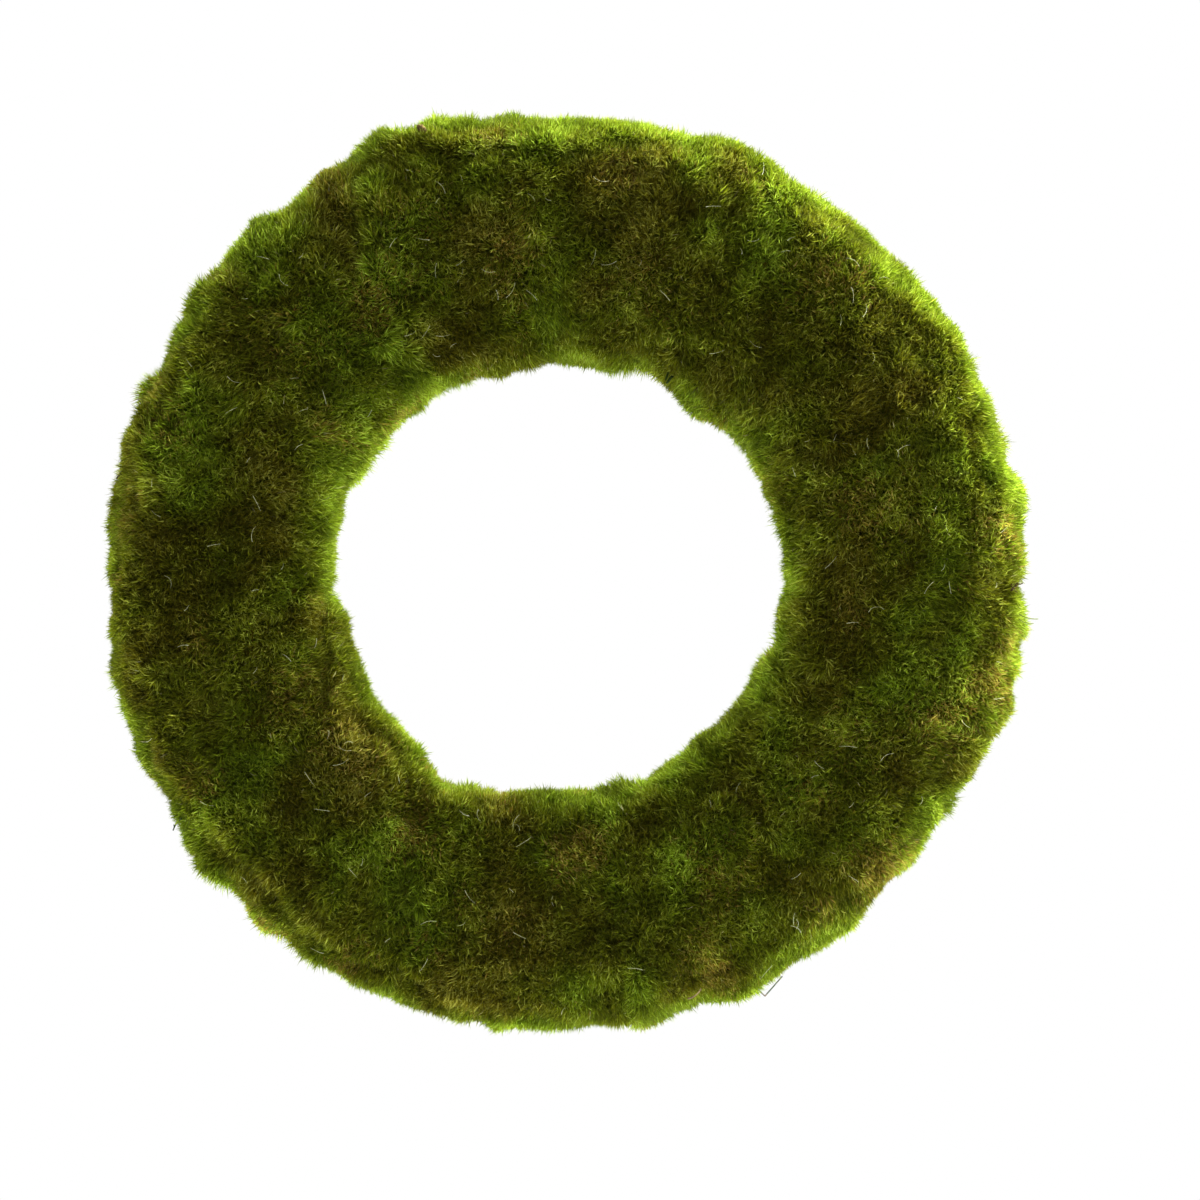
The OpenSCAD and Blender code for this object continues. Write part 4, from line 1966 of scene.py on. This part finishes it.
@dataclass
class FaceLitter:
    """A few stalks, twigs, husks and stray fibres that are caught in the moss."""

    ring: RingSizes
    sections: list
    growth: MossGrowth
    fibres: int = 140
    fibre_r: float = 0.16 * MM
    husk_at: tuple[float, float] = (107.6, 78 * MM)
    husk_r: float = 3.0 * MM
    husk_shape: tuple[float, float, float] = (1.25, 0.7, 0.75)
    husk_turn: tuple[float, float, float] = (0.3, 0.5, 0.2)
    husk_rough: float = 0.35 * MM

    def spot(self, angle: float, out: float, lift: float = 0.0) -> tuple[np.ndarray, np.ndarray]:
        """Place on the moss and the way out of it.

        Args:
            angle: Angle round the wreath in degrees.
            out: Distance from the middle of the ring's width.
            lift: Height over the surface.

        Returns:
            The place and the outward normal.
        """
        turn = math.radians(angle)
        for section in self.sections:
            middle = (section.start + section.end) / 2
            if abs(wrapped(turn - middle)) <= (section.end - section.start) / 2 + 0.01:
                break
        surface = Surface(self.ring, section.outline(0.0, 0.0), section.start, section.end)
        front = surface.line[:, 1] >= section.side_h
        gap = np.where(front, np.abs(surface.line[:, 0] - out), 1.0)
        place, normal = surface.at(np.array([surface.run[gap.argmin()]]), np.array([turn]))
        raised = np.clip(self.growth.rise(place)[0], *MossCushion.RISE_LIMITS)
        return place[0] + normal[0] * (lift + raised), normal[0]

    def strand(self, spec: Strand, material: bpy.types.Material) -> bpy.types.Object:
        """Makes one bent strand from one spot to another.

        Args:
            spec: Its ends and its sizes.
            material: Its finish.

        Returns:
            The strand.
        """
        (angle, out), (angle_end, out_end) = spec.start, spec.end
        first, up = self.spot(angle, out * MM, spec.lift * MM)
        last, _ = self.spot(angle_end, out_end * MM, spec.lift_end * MM)
        s = np.linspace(0, 1, 12)[:, None]
        side = unit(np.cross(last - first, up)[None])
        bend = side * (spec.bow * MM) + up * (spec.arch * MM)
        points = first + (last - first) * s + bend * arc(s)
        return wire_through(spec.name, points, spec.radius * MM, material, taper=spec.taper)

    def build_fibres(self, material: bpy.types.Material) -> bpy.types.Object:
        """Scatters fine pale fibres over the face.

        Args:
            material: Their finish.

        Returns:
            All the fibres as one piece.
        """
        rng = np.random.default_rng(SEED + 7)
        s = np.linspace(0, 1, 6)[:, None]
        fibres = []
        for i in range(self.fibres):
            angle, out, lift = rng.uniform(0, 360), rng.uniform(-66, 70) * MM, rng.uniform(-2, 0.5) * MM
            place, up = self.spot(angle, out, lift)
            way = rng.normal(size=3)
            way -= way @ up * up * 0.8
            way = way / np.linalg.norm(way) * rng.uniform(4, 12) * MM
            bow = np.cross(way, up) * rng.normal(0, 0.10)
            points = place + way * s + bow * arc(s)
            fibres.append(wire_through(f"fibre_{i}", points, self.fibre_r, material, taper=(0.9, 0.4)))
        return join(fibres, "stray_fibres")

    def build_husk(self, material: bpy.types.Material) -> bpy.types.Object:
        """Models a brown seed husk: a small pinched and roughened pod.

        Args:
            material: Its finish.

        Returns:
            The husk.
        """
        deselect_all()
        place, _ = self.spot(*self.husk_at, 0.5 * MM)
        bpy.ops.mesh.primitive_ico_sphere_add(subdivisions=3, radius=self.husk_r, location=tuple(place))
        husk = bpy.context.object
        husk.name = husk.data.name = "seed_husk"
        husk.scale = self.husk_shape
        husk.rotation_euler = self.husk_turn
        settle(husk)
        rng = np.random.default_rng(SEED + 9)
        rough = Waves(rng, 1.5 * MM)
        for vertex in husk.data.vertices:
            vertex.co += vertex.normal * (self.husk_rough * rough.at(np.array([vertex.co]))[0, 0])
        bpy.ops.object.shade_smooth()
        husk.data.materials.append(material)
        return husk

    def build(self) -> None:
        """Builds every strand, the husk and the fibres."""
        straw = StrawFinish("straw_strand").make()
        bark = BarkFinish("twig_bark").make()
        sprig = BarkFinish("dark_sprig", (0.010, 0.016, 0.004), (0.045, 0.075, 0.012)).make()
        pale = BarkFinish("pale_fibre", (0.55, 0.58, 0.26), (0.80, 0.80, 0.52)).make()
        blade = BarkFinish("stray_green", (0.060, 0.080, 0.010), (0.160, 0.210, 0.030)).make()
        finishes = {Litter.STRAW: straw, Litter.TWIG: bark, Litter.SPRIG: sprig, Litter.BLADE: blade}
        for spec in STRANDS:
            hand_over(self.strand(spec, finishes[spec.kind]))
        husk = BarkFinish("husk_skin", (0.060, 0.040, 0.010), (0.260, 0.190, 0.070)).make()
        hand_over(self.build_husk(husk))
        hand_over(self.build_fibres(pale))
        LOG.info("litter: %d strands, a husk and %d fibres", len(STRANDS), self.fibres)


@dataclass
class Studio:
    """Camera, plain floor and soft light."""

    view_w: float = 0.792
    distance: float = 3.0
    aim: tuple[float, float] = (0.0248, -0.0189)
    floor_z: float = -0.62
    floor_size: float = 2.0
    world_light: float = 0.28

    def build_camera(self) -> None:
        """Looks straight at the moss face, framed as a square."""
        data = bpy.data.cameras.new("camera")
        data.sensor_width = 36.0
        data.lens = data.sensor_width * self.distance / self.view_w
        camera = bpy.data.objects.new("camera", data)
        camera.location = (self.aim[0], -self.distance, self.aim[1])
        camera.rotation_euler = (math.pi / 2, 0, 0)
        bpy.context.scene.collection.objects.link(camera)
        bpy.context.scene.camera = camera

    def build_floor(self) -> None:
        """Lays the floor under the wreath, out of the main view."""
        deselect_all()
        bpy.ops.mesh.primitive_plane_add(size=self.floor_size, location=(0, -0.1, self.floor_z))
        floor = bpy.context.object
        floor.name = "studio_floor"
        settle(floor)
        floor.data.materials.append(FloorFinish().make())

    def light(self, name: str, place: tuple, size: float, watts: float) -> None:
        """Adds one soft box aimed at the wreath.

        Args:
            name: The light's name.
            place: Where it stands.
            size: Its width and height.
            watts: Its power.
        """
        data = bpy.data.lights.new(name, "AREA")
        data.shape = "DISK"
        data.size = size
        data.energy = watts
        lamp = bpy.data.objects.new(name, data)
        lamp.location = place
        lamp.rotation_euler = (-Vector(place)).to_track_quat("-Z", "Y").to_euler()
        lamp.visible_camera = False
        bpy.context.scene.collection.objects.link(lamp)

    def build_lights(self) -> None:
        """Lights the wreath from the sides and from behind, most of all from the right."""
        self.light("right_box", (1.5, 0.35, 0.65), 1.2, 108)
        self.light("left_box", (-1.7, 0.65, 0.1), 1.2, 40)
        self.light("top_box", (0.5, 0.4, 1.6), 1.2, 76)
        self.light("low_box", (0.3, 1.1, -1.4), 1.2, 66)
        self.light("back_box", (0.0, 2.0, 0.1), 2.6, 75)
        self.light("front_box", (0.7, -2.2, 1.7), 1.4, 24)

    def build_world(self) -> None:
        """White to the camera, and weaker as a light."""
        world = bpy.data.worlds.new("studio")
        world.use_nodes = True
        tree = world.node_tree
        tree.nodes.clear()
        path = tree.nodes.new("ShaderNodeLightPath")
        mix = tree.nodes.new("ShaderNodeMixShader")
        output = tree.nodes.new("ShaderNodeOutputWorld")
        tree.links.new(path.outputs["Is Camera Ray"], mix.inputs[0])
        for entry, strength in enumerate((self.world_light, 1.0), start=1):
            shade = tree.nodes.new("ShaderNodeBackground")
            shade.inputs["Color"].default_value = (1, 1, 1, 1)
            shade.inputs["Strength"].default_value = strength
            tree.links.new(shade.outputs[0], mix.inputs[entry])
        tree.links.new(mix.outputs[0], output.inputs[0])
        bpy.context.scene.world = world

    def build(self) -> None:
        """Builds the floor, the lights and the world, and sets how tones are shown."""
        self.build_floor()
        self.build_lights()
        self.build_world()
        bpy.context.scene.view_settings.view_transform = "Standard"
        LOG.info("studio built")


def main() -> None:
    """Builds the wreath piece by piece around its frame."""
    logging.basicConfig(level=logging.INFO, format="%(message)s")
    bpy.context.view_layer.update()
    studio = Studio()
    studio.build_camera()
    ring = RingSizes.from_frame()
    growth = MossGrowth(ring)
    curved, straight = BladeShape(0.55, 0.8).model(), BladeShape().model()
    layers = (
        PileLayer(curved, 620_000.0, growth.pile, growth.blade_w, 0.7, 0.02),
        PileLayer(straight, 1_100_000.0, growth.pile * 0.86, growth.blade_w * 0.85, 0.0, -0.03),
    )
    mat, green = MatFinish().make(), BladeFinish().make()
    cushions = sum(name.startswith("moss_cushion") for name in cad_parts)
    sections = [CushionSection(ring, f"moss_cushion_{i + 1}") for i in range(cushions)]
    for number in range(cushions):
        MossCushion(number, sections, growth, layers, mat, green).build()
    StrawCore(ring).build()
    WireFrame(ring).build()
    BindingWire(ring).build()
    HangingLoop().build()
    FaceLitter(ring, sections, growth).build()
    studio.build()


if __name__ == "__main__":
    main()
